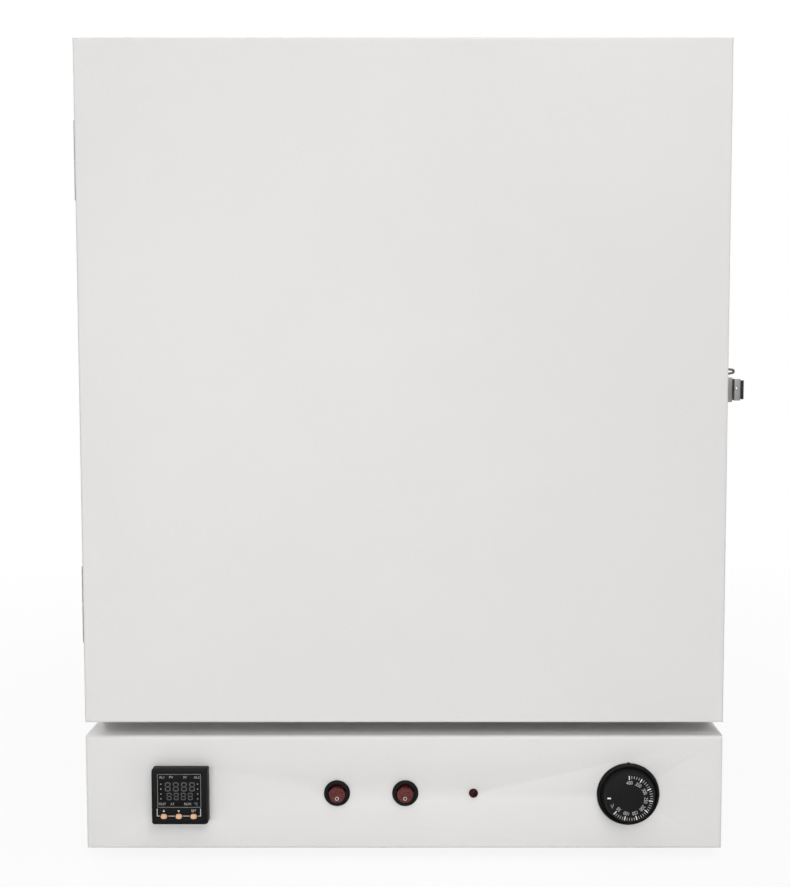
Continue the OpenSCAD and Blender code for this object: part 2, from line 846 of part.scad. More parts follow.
module chamber() {
    color([0.8, 0.81, 0.82]) difference() {
        union() {
            block([-out_x, out_x], [cab_d, in_d1 + liner], [in_z0 - liner, in_z1 + liner]);
            block([-out_x - 12, out_x + 12], [cab_d + sheet + play, cab_d + sheet + play + liner],
                  [in_z0 - liner - 12, in_z1 + liner + 12]);
        }
        difference() {
            block([-in_x, in_x], [cab_d - past, in_d1], [in_z0, in_z1]);
            for (side = [-1, 1]) {
                sensor_clip(side);
            }
        }
        service_holes([in_z0 - liner - past, in_z0 + past], bushing_r + play, probe_hole_r);
        upright(-probe_x, probe_d, [clip_z - past, clip_z + 3], probe_r + run);
        upright(probe_x, probe_d, [clip_z - past, clip_z + 3], bulb_r + run);
        inward(0, [in_d1 - past, in_d1 + liner + past], spigot_z, neck_r + play);
    }
}

// Bracket on the chamber's rear wall that holds a sensor upright
module sensor_clip(side) {
    block([side * probe_x - 8, side * probe_x + 8], [probe_d - 7, in_d1 + liner / 2],
          [clip_z, clip_z + liner]);
}

module insulation_bottom() {
    color([0.86, 0.82, 0.66]) difference() {
        block([play - skin_x, skin_x - play], [wool_d0, wool_d1],
              [base_z1 + sheet + play, in_z0 - liner - play]);
        service_holes([base_z1, in_z0], bushing_r + 1, probe_hole_r + 1);
    }
}

module insulation_top() {
    color([0.86, 0.82, 0.66]) {
        block([bend_r / 2 - skin_x, skin_x - bend_r / 2], [wool_d0, wool_d1],
              [in_z1 + liner + play, door_z1 - sheet - play]);
    }
}

module insulation_sides() {
    color([0.86, 0.82, 0.66]) for (side = [0, 1]) {
        mirror([side, 0, 0]) {
            block([out_x + play, skin_x - play], [wool_d0, wool_d1], [in_z0 - liner, in_z1 + liner]);
        }
    }
}

module insulation_rear() {
    color([0.86, 0.82, 0.66]) difference() {
        block([-out_x, out_x], [in_d1 + liner + play, wool_d1], [in_z0 - liner, in_z1 + liner]);
        inward(0, [in_d1, total_d], spigot_z, neck_r + play);
    }
}

// What stands in the chamber

function runner_z(i) = in_z0 + runner_h + i * runner_pitch;

module shelf_rack() {
    for (d = [shelf_d0 + 16, shelf_d1 - 30]) {
        block([rack_x, rack_x + post_t], [d, d + post_w],
              [in_z0 + play, runner_z(runner_count - 1) + 30]);
        for (z = [runner_z(0) - 24, runner_z(runner_count - 1) + 22]) {
            across([rack_x + post_t - 0.5, in_x - play], d + post_w / 2, z, 4);
        }
    }
    for (i = [0 : runner_count - 1]) {
        z = runner_z(i);
        block([rack_x - runner_w, rack_x + 0.5], [cab_d + 12, shelf_d1 + 8], [z, z + 1.5]);
        block([rack_x - 1.5, rack_x + 0.5], [cab_d + 12, shelf_d1 + 8], [z, z + runner_up]);
        block([rack_x - runner_w, rack_x], [shelf_d1 + 3, shelf_d1 + 4.5], [z, z + runner_up]);
    }
}

module shelf_racks() {
    color(steel) {
        shelf_rack();
        mirror([1, 0, 0]) shelf_rack();
    }
}

module shelf(level) {
    z = runner_z(level) + 1.5 + play + shelf_rod_r;
    rod_x = shelf_x - shelf_rod_r;
    pitch = 2 * rod_x / (shelf_wires + 1);
    color(steel) {
        for (side = [-1, 1]) {
            inward(side * rod_x, [shelf_d0, shelf_d1], z, shelf_rod_r);
        }
        for (d = [shelf_d0 + shelf_rod_r, shelf_d1 - shelf_rod_r]) {
            across([-shelf_x, shelf_x], d, z, shelf_rod_r);
        }
        across([-rod_x, rod_x], (shelf_d0 + shelf_d1) / 2, z - shelf_wire_r, shelf_wire_r);
        for (i = [1 : shelf_wires]) {
            inward(i * pitch - rod_x, [shelf_d0 + shelf_rod_r, shelf_d1 - shelf_rod_r], z,
                   shelf_wire_r);
        }
    }
}

module shelf_upper() {
    shelf(upper_level);
}

module shelf_lower() {
    shelf(lower_level);
}

module floor_plate() {
    x1 = rack_x - 2.5;
    d0 = cab_d + 8;
    d1 = in_d1 - 4;
    columns = 9;
    rows = 7;
    color(steel) difference() {
        block([-x1, x1], [d0, d1], [in_z0 + play, in_z0 + plate_h]);
        block([liner - x1, x1 - liner], [d0 - past, d1 + past],
              [in_z0 - past, in_z0 + plate_h - liner]);
        for (i = [0 : columns - 1], j = [0 : rows - 1]) {
            upright((i - (columns - 1) / 2) * 38, d0 + 34 + j * 48,
                    [in_z0 + plate_h - 3, in_z0 + plate_h + past],
                    plate_hole_r);
        }
        for (side = [-1, 1]) {
            upright(side * probe_x, probe_d, [in_z0 + plate_h - 3, in_z0 + plate_h + past], bulb_r + 2);
        }
    }
}

// The heater rises through the chamber's floor, runs forward and back four times, and goes down again
module heater() {
    outer = 1.5 * heater_pitch;
    inner = 0.5 * heater_pitch;
    back_d = leg_d - 60;
    bend_d = leg_d - leg_bend;
    color([0.35, 0.33, 0.32]) {
        for (side = [-1, 1]) {
            upright(side * outer, leg_d, [leg_z, heater_z - leg_bend], heater_r);
            translate(place(side * outer, bend_d, heater_z - leg_bend)) rotate([90, 0, 90]) {
                rotate_extrude(angle = 90) translate([leg_bend, 0]) circle(r = heater_r);
            }
            inward(side * outer, [heater_d0, bend_d], heater_z, heater_r);
            inward(side * inner, [heater_d0, back_d], heater_z, heater_r);
            translate(place(side * heater_pitch, heater_d0, heater_z)) rotate([0, 0, 180]) {
                rotate_extrude(angle = 180) translate([heater_pitch / 2, 0]) circle(r = heater_r);
            }
        }
        translate(place(0, back_d, heater_z)) {
            rotate_extrude(angle = 180) translate([heater_pitch / 2, 0]) circle(r = heater_r);
        }
    }
}

module heater_bushings() {
    color([0.75, 0.6, 0.3]) for (side = [-1, 1]) {
        difference() {
            union() {
                upright(side * 1.5 * heater_pitch, leg_d,
                        [base_z1 - sheet - 5, in_z0 + play + 1.5], bushing_r);
                upright(side * 1.5 * heater_pitch, leg_d, [base_z1 - sheet - 5, base_z1 - sheet],
                        bushing_r + 3);
                upright(side * 1.5 * heater_pitch, leg_d, [in_z0, in_z0 + 2], bushing_r + 2);
            }
            upright(side * 1.5 * heater_pitch, leg_d, [base_z0, in_z1], heater_r + run);
        }
    }
}

// Exhaust

module exhaust_spigot() {
    color(steel) difference() {
        union() {
            inward(0, [in_d1 - 1, damper_d + 4], spigot_z, neck_r);
            // The raised end that a hose is pushed over
            inward(0, [damper_d + 3, total_d + spigot_reach], spigot_z, spigot_r);
            inward(0, [in_d1 - 1, in_d1], spigot_z, spigot_r + 6);
            inward(0, [total_d, total_d + 2], spigot_z, spigot_r + 9);
        }
        inward(0, [in_d1 - 3, total_d + spigot_reach + past], spigot_z, spigot_r - spigot_wall);
        across([-spigot_r - past, spigot_r + past], damper_d, spigot_z, damper_shaft_r + run);
    }
}

module exhaust_damper() {
    lever_x = spigot_r + 2;
    lever_l = damper_d - total_d - 6;
    color(steel) {
        across([-spigot_r - 2, lever_x + 2], damper_d, spigot_z, damper_shaft_r);
        upright(0, damper_d, [spigot_z - 0.6, spigot_z + 0.6], damper_r);
        block([lever_x, lever_x + 2], [damper_d - 2, damper_d + 2], [spigot_z, spigot_z + lever_l]);
        across([lever_x, lever_x + 7], damper_d, spigot_z + lever_l, 3);
    }
}

// Door

module door_skin() {
    color(paint) difference() {
        folded_body(body_w, [0, door_t], [door_z0, door_z1], bend_r);
        folded_body(body_w - 2 * sheet, [sheet, door_t + past], [door_z0 + sheet, door_z1 - sheet],
                    bend_r - sheet);
        for (z = hinge_zs) {
            side_screw_holes(-1, door_hinge_screw_d, [for (rise = hinge_screw_rise) z + rise]);
        }
        side_screw_holes(1, keeper_screw_d, [latch_z - 6, latch_z + 6]);
    }
}

pan_x = in_x - 11;
pan_rise = chamber_h / 2 - 11;
pan_deep = seal_gap + 4;

module door_liner() {
    z0 = door_z0 + sheet + play;
    z1 = door_z1 - sheet - play;
    color(steel) {
        sheet_ring(skin_x, [z0, z1], pan_x - liner / 2,
                   [mid_z - pan_rise + liner / 2, mid_z + pan_rise - liner / 2],
                   [door_t - liner, door_t]);
        sheet_ring(skin_x, [z0, z1], skin_x - liner, [z0 + liner, z1 - liner],
                   [door_t - 9, door_t - liner / 2]);
        difference() {
            block([-pan_x, pan_x], [door_t - liner, door_t + pan_deep],
                  [mid_z - pan_rise, mid_z + pan_rise]);
            block([liner - pan_x, pan_x - liner], [door_t - 2 * liner, door_t + pan_deep - liner],
                  [mid_z - pan_rise + liner, mid_z + pan_rise - liner]);
        }
    }
}

module door_insulation() {
    edge = 2 * play + liner + sheet;
    color([0.86, 0.82, 0.66]) {
        block([edge - half_w, half_w - edge], [sheet + play, door_t - liner - play],
              [door_z0 + edge, door_z1 - edge]);
        block([2 * liner - pan_x, pan_x - 2 * liner],
              [door_t - 2 * liner, door_t + pan_deep - liner - play],
              [mid_z - pan_rise + 2 * liner, mid_z + pan_rise - 2 * liner]);
    }
}

module door_gasket() {
    seal_x = out_x + 5;
    seal_z = chamber_h / 2 + liner + 5;
    color([0.8, 0.35, 0.25]) {
        sheet_ring(seal_x + 15, [mid_z - seal_z - 15, mid_z + seal_z + 15], seal_x,
                   [mid_z - seal_z, mid_z + seal_z],
                   [door_t, door_t + 2]);
        sheet_ring(seal_x + 12, [mid_z - seal_z - 12, mid_z + seal_z + 12], seal_x + 3,
                   [mid_z - seal_z - 3, mid_z + seal_z + 3], [door_t + 1, cab_d - 0.3]);
    }
}

// Hinges: the lower half of each knuckle is on the cabinet, the upper half on the door

module leaf(d, z, knuckle_z, other_z, web_d) {
    difference() {
        union() {
            block([-half_w - leaf_t, -half_w], d, z);
            block([hinge_x, -half_w - leaf_t + 1], web_d, knuckle_z);
            block([hinge_x, -half_w], [max(web_d[0], d[0]), min(web_d[1], d[1])], knuckle_z);
            upright(hinge_x, knuckle_d, knuckle_z, knuckle_r);
        }
        upright(hinge_x, knuckle_d, [z[0] - past, z[1] + past], hinge_pin_r + run);
        upright(hinge_x, knuckle_d, other_z, knuckle_r + 2 * play);
    }
}

module hinge_cabinet_leaves() {
    color(steel) for (z = hinge_zs) {
        difference() {
            leaf([cab_d, cab_d + leaf_l], [z - hinge_h / 2, z + hinge_h / 2],
                 [z - hinge_h / 2, z - 0.5],
                 [z - 0.5, z + hinge_h / 2 + past], [knuckle_d, cab_d + 3]);
            for (rise = hinge_screw_rise) {
                across([-half_w - leaf_t - past, -half_w + past], cab_hinge_screw_d, z + rise,
                       screw_r + 0.1);
            }
        }
    }
}

module hinge_door_leaves() {
    color(steel) for (z = hinge_zs) {
        difference() {
            leaf([door_t - leaf_l, door_t], [z - hinge_h / 2, z + hinge_h / 2],
                 [z + 0.5, z + hinge_h / 2],
                 [z - hinge_h / 2 - past, z + 0.5], [door_t - 3, knuckle_d]);
            for (rise = hinge_screw_rise) {
                across([-half_w - leaf_t - past, -half_w + past], door_hinge_screw_d, z + rise,
                       screw_r + 0.1);
            }
        }
    }
}

module hinge_pins() {
    color(steel) for (z = hinge_zs) {
        upright(hinge_x, knuckle_d, [z - hinge_h / 2 - 1, z + hinge_h / 2 - 3], hinge_pin_r);
        upright(hinge_x, knuckle_d, [z - hinge_h / 2 - 3, z - hinge_h / 2], hinge_pin_r + 2);
        difference() {
            upright(hinge_x, knuckle_d, [z - 0.4, z + 0.4], knuckle_r - 1);
            upright(hinge_x, knuckle_d, [z - 1, z + 1], hinge_pin_r - 0.5);
        }
    }
}

// Latch

module cabinet_side_screws() {
    color(steel) {
        for (z = hinge_zs, rise = hinge_screw_rise) {
            screw_side(-1, half_w + leaf_t, cab_hinge_screw_d, z + rise, leaf_t + sheet + play / 2);
        }
        for (rise = [7 - bracket_screw_rise, bracket_screw_rise - 7]) {
            screw_side(1, half_w + ear_t, latch_d + 16, latch_z + rise, ear_t + sheet + play / 2);
        }
    }
}

module door_side_screws() {
    color(steel) {
        for (z = hinge_zs, rise = hinge_screw_rise) {
            screw_side(-1, half_w + leaf_t, door_hinge_screw_d, z + rise, leaf_t + sheet + 1);
        }
        for (rise = [-6, 6]) {
            screw_side(1, half_w + keeper_t, keeper_screw_d, latch_z + rise, keeper_t + sheet + 1);
        }
    }
}

module latch_bracket() {
    top = ear_z + ear_t;
    color(steel) difference() {
        union() {
            block([half_w, half_w + ear_t], [cab_d + 3, latch_d + 24], [latch_z - top, latch_z + top]);
            for (side = [-1, 1]) {
                block([half_w, latch_x], [latch_d - 6, latch_d + 6],
                      [latch_z + side * (ear_z + ear_t / 2) - ear_t / 2,
                       latch_z + side * (ear_z + ear_t / 2) + ear_t / 2]);
                upright(latch_x, latch_d, [latch_z + side * (ear_z + ear_t / 2) - ear_t / 2,
                                           latch_z + side * (ear_z + ear_t / 2) + ear_t / 2], 6);
            }
        }
        upright(latch_x, latch_d, [latch_z - 2 * ear_z, latch_z + 2 * ear_z], latch_pin_r + run);
        for (rise = [7 - bracket_screw_rise, bracket_screw_rise - 7]) {
            across([half_w - past, half_w + ear_t + past], latch_d + 16, latch_z + rise, screw_r + 0.1);
        }
    }
}

module latch_pin() {
    color(steel) difference() {
        union() {
            upright(latch_x, latch_d, [latch_z - ear_z - ear_t - 1, pin_top], latch_pin_r);
            upright(latch_x, latch_d, [latch_z - ear_z - ear_t - 2, latch_z - ear_z - ear_t],
                    latch_pin_r + 1.5);
        }
        across([latch_x - 6, latch_x + 6], latch_d, pin_top - 2, clip_r + run);
    }
}

// Spring clip through the pin's upper end
module latch_clip() {
    tip = latch_x + 12.4;
    color(steel) {
        tube_run([place(latch_x - 5, latch_d, pin_top - 2), place(tip - 1.5, latch_d, pin_top - 2),
                  place(tip, latch_d, pin_top + 0.6), place(latch_x - 1, latch_d, pin_top + 4)], clip_r);
    }
}

module swung() {
    pin = place(latch_x, latch_d, 0);
    translate(pin) rotate([0, 0, claw_rest]) translate(-pin) children();
}

module latch_claw() {
    z = [latch_z - claw_half, latch_z + claw_half];
    color([0.66, 0.67, 0.68]) swung() difference() {
        union() {
            upright(latch_x, latch_d, z, 5);
            block([latch_x, arm_x0 + claw_t], [latch_d - 4, latch_d + 2], z);
            block([arm_x0, arm_x0 + claw_t], [nose_d1 - nose_t, latch_d], z);
            block([nose_x0, arm_x0 + claw_t], [nose_d1 - nose_t, nose_d1], z);
        }
        upright(latch_x, latch_d, [z[0] - past, z[1] + past], latch_pin_r + run);
    }
}

module latch_grip() {
    color(black) swung() {
        block([arm_x0 + claw_t, arm_x0 + claw_t + 3], [nose_d1 - nose_t, nose_d1 + 18],
              [latch_z - grip_half, latch_z + grip_half]);
        for (i = [0 : 3]) {
            inward_rib(nose_d1 + 1 + i * 4.5);
        }
    }
}

module inward_rib(d) {
    upright(arm_x0 + claw_t + 3, d, [latch_z - grip_half + 0.3, latch_z + grip_half - 0.3], 0.6);
}

module latch_keeper() {
    z = [latch_z - keeper_h / 2, latch_z + keeper_h / 2];
    color([0.66, 0.67, 0.68]) difference() {
        union() {
            block([half_w, half_w + keeper_t], [keeper_screw_d - 7, keeper_d + keeper_t], z);
            block([half_w, half_w + keeper_out], [keeper_d, keeper_d + keeper_t], z);
        }
        for (rise = [-6, 6]) {
            across([half_w - past, half_w + keeper_t + past], keeper_screw_d, latch_z + rise,
                   screw_r + 0.1);
        }
    }
}

// Each sub-part is drawn by its own line
base_shell();
base_bottom();
base_back();
base_screws();
feet();
controller_case();
controller_bezel();
controller_window();
button_up();
button_down_key();
button_set();
switch_bodies();
rocker_mains();
rocker_heater();
heating_lamp();
thermostat_body();
thermostat_shaft();
thermostat_bulb();
dial_knob();
dial_bezel();
temperature_probe();
relay();
terminal_block();
inlet();
fuse_drawer();
wiring_loom();
cabinet_shell();
cabinet_floor();
cabinet_back();
cabinet_screws();
front_frame();
chamber();
insulation_bottom();
insulation_top();
insulation_sides();
insulation_rear();
shelf_racks();
shelf_upper();
shelf_lower();
floor_plate();
heater();
heater_bushings();
exhaust_spigot();
exhaust_damper();
door_skin();
door_liner();
door_insulation();
door_gasket();
hinge_cabinet_leaves();
hinge_door_leaves();
hinge_pins();
cabinet_side_screws();
door_side_screws();
latch_bracket();
latch_pin();
latch_clip();
latch_claw();
latch_grip();
latch_keeper();
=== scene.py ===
"""Dresses the bench dry heat sterilizer: casing, controls, latch, hinges, chamber and studio."""

import json
import math

import bpy
from mathutils import Matrix, Vector


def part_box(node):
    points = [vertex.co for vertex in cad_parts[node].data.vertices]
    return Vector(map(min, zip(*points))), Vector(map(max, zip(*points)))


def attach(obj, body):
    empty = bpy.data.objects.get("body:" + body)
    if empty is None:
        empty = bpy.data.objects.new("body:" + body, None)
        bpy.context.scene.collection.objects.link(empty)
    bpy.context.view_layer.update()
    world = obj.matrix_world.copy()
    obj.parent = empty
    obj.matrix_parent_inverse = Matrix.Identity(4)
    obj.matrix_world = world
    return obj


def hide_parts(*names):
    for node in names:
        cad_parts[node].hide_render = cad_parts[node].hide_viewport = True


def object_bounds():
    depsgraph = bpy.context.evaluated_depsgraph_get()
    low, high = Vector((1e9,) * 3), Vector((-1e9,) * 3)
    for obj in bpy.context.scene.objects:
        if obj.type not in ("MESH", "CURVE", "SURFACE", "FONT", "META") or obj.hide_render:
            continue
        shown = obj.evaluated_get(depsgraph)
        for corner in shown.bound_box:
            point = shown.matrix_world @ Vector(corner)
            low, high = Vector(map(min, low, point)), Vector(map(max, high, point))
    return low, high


bl_info = {
    "name": "Dry heat sterilizer",
    "version": (1, 0, 0),
    "blender": (4, 5, 0),
    "location": "View3D > Sidebar > Sterilizer",
    "description": "Builds the finished pieces of a bench dry heat sterilizer and its studio",
    "category": "Object",
}

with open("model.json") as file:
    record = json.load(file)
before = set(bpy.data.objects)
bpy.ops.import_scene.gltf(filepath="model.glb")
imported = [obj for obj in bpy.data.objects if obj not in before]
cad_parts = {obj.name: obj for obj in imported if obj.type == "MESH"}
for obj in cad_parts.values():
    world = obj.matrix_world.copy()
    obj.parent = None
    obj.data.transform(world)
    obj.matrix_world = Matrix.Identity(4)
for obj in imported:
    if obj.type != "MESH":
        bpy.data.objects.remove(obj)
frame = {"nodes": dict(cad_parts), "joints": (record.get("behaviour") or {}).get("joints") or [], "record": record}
CAD_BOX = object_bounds()
RECORD = frame["record"]
BODY_OF = {node: body for body, nodes in RECORD["behaviour"]["bodies"].items() for node in nodes}
MM = 0.001
WHITE = (1, 1, 1, 1)
# Corners nearer than this are one, in metres
SAME_PLACE = 1e-6
# The least cosine between an axis and the normal of a face that looks along it
FACING = 0.99
# Thickness of the painted sheet
SHEET = 0.0015
# Type size for each unit of a number's height
TYPE_SIZE = 1.45


def middle(node):
    """The middle of a CAD solid's box"""
    low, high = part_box(node)
    return (low + high) / 2


def colour(name, description, default):
    """A colour in the panel"""
    return bpy.props.FloatVectorProperty(
        name=name, description=description, subtype="COLOR", size=4, min=0, max=1, default=default)


def length(name, description, least, most, default):
    """A length in the panel"""
    return bpy.props.FloatProperty(
        name=name, description=description, subtype="DISTANCE", unit="LENGTH",
        min=least, max=most, default=default)


class SterilizerFinish(bpy.types.PropertyGroup):
    """Colours of the finishes"""

    paint: colour("Paint", "Powder coat of the door, the base and the cabinet",
                  (0.76, 0.752, 0.744, 1))
    plastic: colour("Black plastic", "Dial, switch bezels and controller frame",
                    (0.0048, 0.0048, 0.0052, 1))
    lens: colour("Red lens", "Switch rockers and the heating lamp", (0.105, 0.016, 0.014, 1))
    button: colour("Buttons", "The controller's three buttons", (0.83, 0.47, 0.27, 1))
    marks: colour("Marks", "Printed scale, numbers and legends", (0.62, 0.62, 0.61, 1))
    steel: colour("Steel", "Chamber, shelves, latch and hinges", (0.5, 0.5, 0.495, 1))
    seal: colour("Seal", "Silicone seal of the door", (0.42, 0.1, 0.055, 1))


class SterilizerSizes(bpy.types.PropertyGroup):
    """Sizes of what is added to the solids"""

    edge: length("Edge radius", "Radius on the edges of folded sheet", 0.0001, 0.002, 0.0005)
    number_height: length("Dial number height", "Height of the numbers on the dial",
                          0.001, 0.005, 0.0031)
    tick_length: length("Dial tick length", "Length of the long ticks on the dial",
                        0.001, 0.006, 0.0036)
    digit_height: length("Digit height", "Height of the controller's upper digits",
                         0.004, 0.012, 0.0082)
    relief: length("Print thickness", "How far printed marks stand off their surface",
                   0.00002, 0.0003, 0.00006)
    lens_length: bpy.props.FloatProperty(
        name="Lens", description="Focal length of the camera", subtype="DISTANCE_CAMERA",
        unit="CAMERA", min=20, max=120, default=56.05)
    world_light: bpy.props.FloatProperty(
        name="Room light", description="Strength of the light from all round",
        min=0, max=2, default=0.12)
    lamp_light: bpy.props.FloatProperty(
        name="Lamp light", description="Strength of the soft lamps, as a share of the set level",
        subtype="FACTOR", min=0, max=2, default=1.0)


# Making pieces


def deselect():
    if bpy.context.object and bpy.context.object.mode != "OBJECT":
        bpy.ops.object.mode_set(mode="OBJECT")
    bpy.ops.object.select_all(action="DESELECT")


def only(piece):
    """Leaves the piece selected and active, and nothing else"""
    deselect()
    piece.select_set(True)
    bpy.context.view_layer.objects.active = piece


def settle(name):
    """Names the new primitive and puts its place into its mesh"""
    piece = bpy.context.object
    piece.name = name
    piece.data.name = name
    bpy.ops.object.transform_apply(location=True, rotation=True, scale=True)
    return piece


def slab(name, low, high):
    """A block between two corners, in metres"""
    low, high = Vector(low), Vector(high)
    deselect()
    bpy.ops.mesh.primitive_cube_add(size=1, location=(low + high) / 2, scale=high - low)
    return settle(name)


def rod(name, start, end, radius, sides):
    """A bar between two points, with a regular section"""
    start, end = Vector(start), Vector(end)
    turn = (end - start).to_track_quat("Z", "Y").to_euler()
    deselect()
    bpy.ops.mesh.primitive_cone_add(
        vertices=sides, radius1=radius, radius2=radius, depth=(end - start).length,
        location=(start + end) / 2, rotation=turn)
    return settle(name)


def edit(piece, kind, test=None):
    """Opens the piece in edit mode with the faces or edges selected that pass the test, or all"""
    only(piece)
    mesh = piece.data
    bpy.context.tool_settings.mesh_select_mode = (False, kind == "EDGE", kind == "FACE")
    for part in (mesh.vertices, mesh.edges, mesh.polygons):
        part.foreach_set("select", [test is None] * len(part))
    if test and kind == "FACE":
        for face in mesh.polygons:
            face.select = test(face.center, face.normal)
    elif test:
        for line in mesh.edges:
            a, b = (mesh.vertices[i].co for i in line.vertices)
            line.select = test(a, b)
    bpy.ops.object.mode_set(mode="EDIT")


def done():
    bpy.ops.object.mode_set(mode="OBJECT")


def shaped(piece, kind, **settings):
    """Adds a modifier, gives it its settings and applies it"""
    only(piece)
    modifier = piece.modifiers.new(kind.lower(), kind)
    for key, value in settings.items():
        setattr(modifier, key, value)
    bpy.ops.object.modifier_apply(modifier=modifier.name)
    return piece


def rounded(piece, width, segments=2, angle=30):
    """Rounds the edges that are sharper than the angle"""
    return shaped(piece, "BEVEL", width=width, segments=segments, limit_method="ANGLE",
                  angle_limit=math.radians(angle))


def bevelled(piece, width, segments, test):
    """Rounds the edges that pass the test"""
    edit(piece, "EDGE", test)
    bpy.ops.mesh.bevel(offset=width, segments=segments, affect="EDGES")
    done()
    return piece


def cut(piece, tool):
    """Takes the tool's shape out of the piece"""
    shaped(piece, "BOOLEAN", operation="DIFFERENCE", solver="EXACT", object=tool)
    bpy.data.objects.remove(tool)
    return piece


def joined(name, *pieces):
    """One piece out of several"""
    deselect()
    for piece in pieces:
        piece.select_set(True)
    bpy.context.view_layer.objects.active = pieces[0]
    bpy.ops.object.join()
    pieces[0].name = name
    pieces[0].data.name = name
    return pieces[0]


def copied(piece, name, move):
    """A copy with its own mesh, moved as the matrix says"""
    only(piece)
    bpy.ops.object.duplicate(linked=False)
    copy = bpy.context.object
    copy.name = name
    copy.data.name = name
    copy.data.transform(move)
    return copy


def about(place, turn):
    """The turn, made about a place"""
    return Matrix.Translation(place) @ turn @ Matrix.Translation(-place)


def smooth(piece, angle=32):
    """Shades the piece smoothly over edges that are flatter than the angle"""
    only(piece)
    bpy.ops.object.shade_smooth_by_angle(angle=math.radians(angle), keep_sharp_edges=False)
    return piece


def outward(piece):
    """Merges doubled corners and points every face outwards"""
    edit(piece, "FACE")
    bpy.ops.mesh.select_all(action="SELECT")
    bpy.ops.mesh.remove_doubles(threshold=SAME_PLACE)
    bpy.ops.mesh.normals_make_consistent(inside=False)
    done()
    return piece


def profile(name, points, centre, axis, sides):
    """A turned piece: the outline of (radius, distance along the axis) spun round the axis"""
    centre, axis = Vector(centre), Vector(axis).normalized()
    side = axis.orthogonal().normalized()
    deselect()
    bpy.ops.mesh.primitive_plane_add(size=1, location=centre)
    piece = bpy.context.object
    mesh = bpy.data.meshes.new(name)
    mesh.from_pydata([centre + side * r + axis * h for r, h in points],
                     [(i, i + 1) for i in range(len(points) - 1)], [])
    piece.data = mesh
    piece.location = (0, 0, 0)
    piece.name = name
    edit(piece, "EDGE")
    bpy.ops.mesh.spin(steps=sides, angle=2 * math.pi, center=centre, axis=axis)
    done()
    return outward(piece)


def wire(name, points, radius, closed=False):
    """A bent wire: a curve with a round section, made into a mesh; a closed one is a finer ring"""
    deselect()
    bpy.ops.curve.primitive_bezier_curve_add(location=(0, 0, 0))
    curve = bpy.context.object
    curve.name = name
    curve.data.splines.remove(curve.data.splines[0])
    line = curve.data.splines.new("POLY")
    line.points.add(len(points) - 1)
    for point, place in zip(line.points, points):
        point.co = (*place, 1)
    line.use_cyclic_u = closed
    curve.data.bevel_depth = radius
    curve.data.bevel_resolution = 4 if closed else 3
    curve.data.use_fill_caps = not closed
    bpy.ops.object.convert(target="MESH")
    return outward(settle(name))


def lettering(name, text, height, place, turn, thickness, narrow=1.0):
    """A word or number on a surface that faces the front, turned about its own middle"""
    deselect()
    bpy.ops.object.text_add(location=(0, 0, 0))
    label = bpy.context.object
    label.data.body = text
    label.data.size = height * TYPE_SIZE
    label.data.align_x = "CENTER"
    label.data.align_y = "CENTER"
    label.data.extrude = thickness / 2
    label.data.resolution_u = 5
    bpy.ops.object.convert(target="MESH")
    label = bpy.context.object
    corners = [v.co for v in label.data.vertices]
    low, high = (Vector(f(c[i] for c in corners) for i in range(3)) for f in (min, max))
    label.data.transform(Matrix.Diagonal((narrow, 1, 1, 1)) @ Matrix.Translation(-(low + high) / 2))
    upright = Matrix.Rotation(math.pi / 2, 4, "X")
    label.data.transform(Matrix.Translation(place) @ Matrix.Rotation(turn, 4, "Y") @ upright)
    label.name = name
    return label


def refined(node, width=0.0, segments=2, angle=30):
    """A merged copy of a CAD solid with its sharp edges rounded"""
    piece = bpy.data.objects.new(node + ".finished", frame["nodes"][node].data.copy())
    bpy.context.scene.collection.objects.link(piece)
    edit(piece, "FACE")
    bpy.ops.mesh.remove_doubles(threshold=2 * SAME_PLACE)
    bpy.ops.mesh.dissolve_limited(angle_limit=math.radians(0.8))
    done()
    if width:
        rounded(piece, width, segments, angle)
    return smooth(piece)


def carried(piece, look, body):
    """A piece that is added to a body without standing for a solid"""
    piece.data.materials.clear()
    piece.data.materials.append(finish(look))
    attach(piece, body)
    return piece


def fitted(piece, node, look):
    """Gives a piece its finish and body, and lets it stand for a CAD solid"""
    piece.data.materials.clear()
    piece.data.materials.append(finish(look))
    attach(piece, BODY_OF[node])
    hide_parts(node)
    return piece


def dressed(look, width, segments, *nodes, angle=30):
    """Each solid with its edges rounded and its finish on"""
    for node in nodes:
        fitted(refined(node, width, segments, angle), node, look)


# Materials


def shader_of(name, colour, roughness, metallic=0.0):
    """A new material, its node tree and its shader"""
    material = bpy.data.materials.new(name)
    material.use_nodes = True
    shader = material.node_tree.nodes["Principled BSDF"]
    shader.inputs["Base Color"].default_value = colour
    shader.inputs["Roughness"].default_value = roughness
    shader.inputs["Metallic"].default_value = metallic
    return material, material.node_tree, shader


def added(tree, kind, settings=(), **links):
    """A new node with its settings and links; a0 and a1 are its sockets by number"""
    node = tree.nodes.new("ShaderNode" + kind)
    for key, value in dict(settings).items():
        node.inputs[key].default_value = value
    for key, socket in links.items():
        tree.links.new(socket, node.inputs[int(key[1:]) if key[1:].isdigit() else key])
    return node


def mathed(tree, operation, first, second):
    """What the operation makes of two values"""
    node = added(tree, "Math", a0=first, a1=second)
    node.operation = operation
    return node.outputs[0]


def object_place(tree):
    return added(tree, "TexCoord").outputs["Object"]


def noise(tree, scale, detail=3.0, stretch=(1, 1, 1), roughness=0.5):
    """Noise on object coordinates, stretched along an axis where asked"""
    mapping = added(tree, "Mapping", {"Scale": stretch}, Vector=object_place(tree))
    settings = {"Scale": scale, "Detail": detail, "Roughness": roughness}
    return added(tree, "TexNoise", settings, Vector=mapping.outputs["Vector"]).outputs[0]


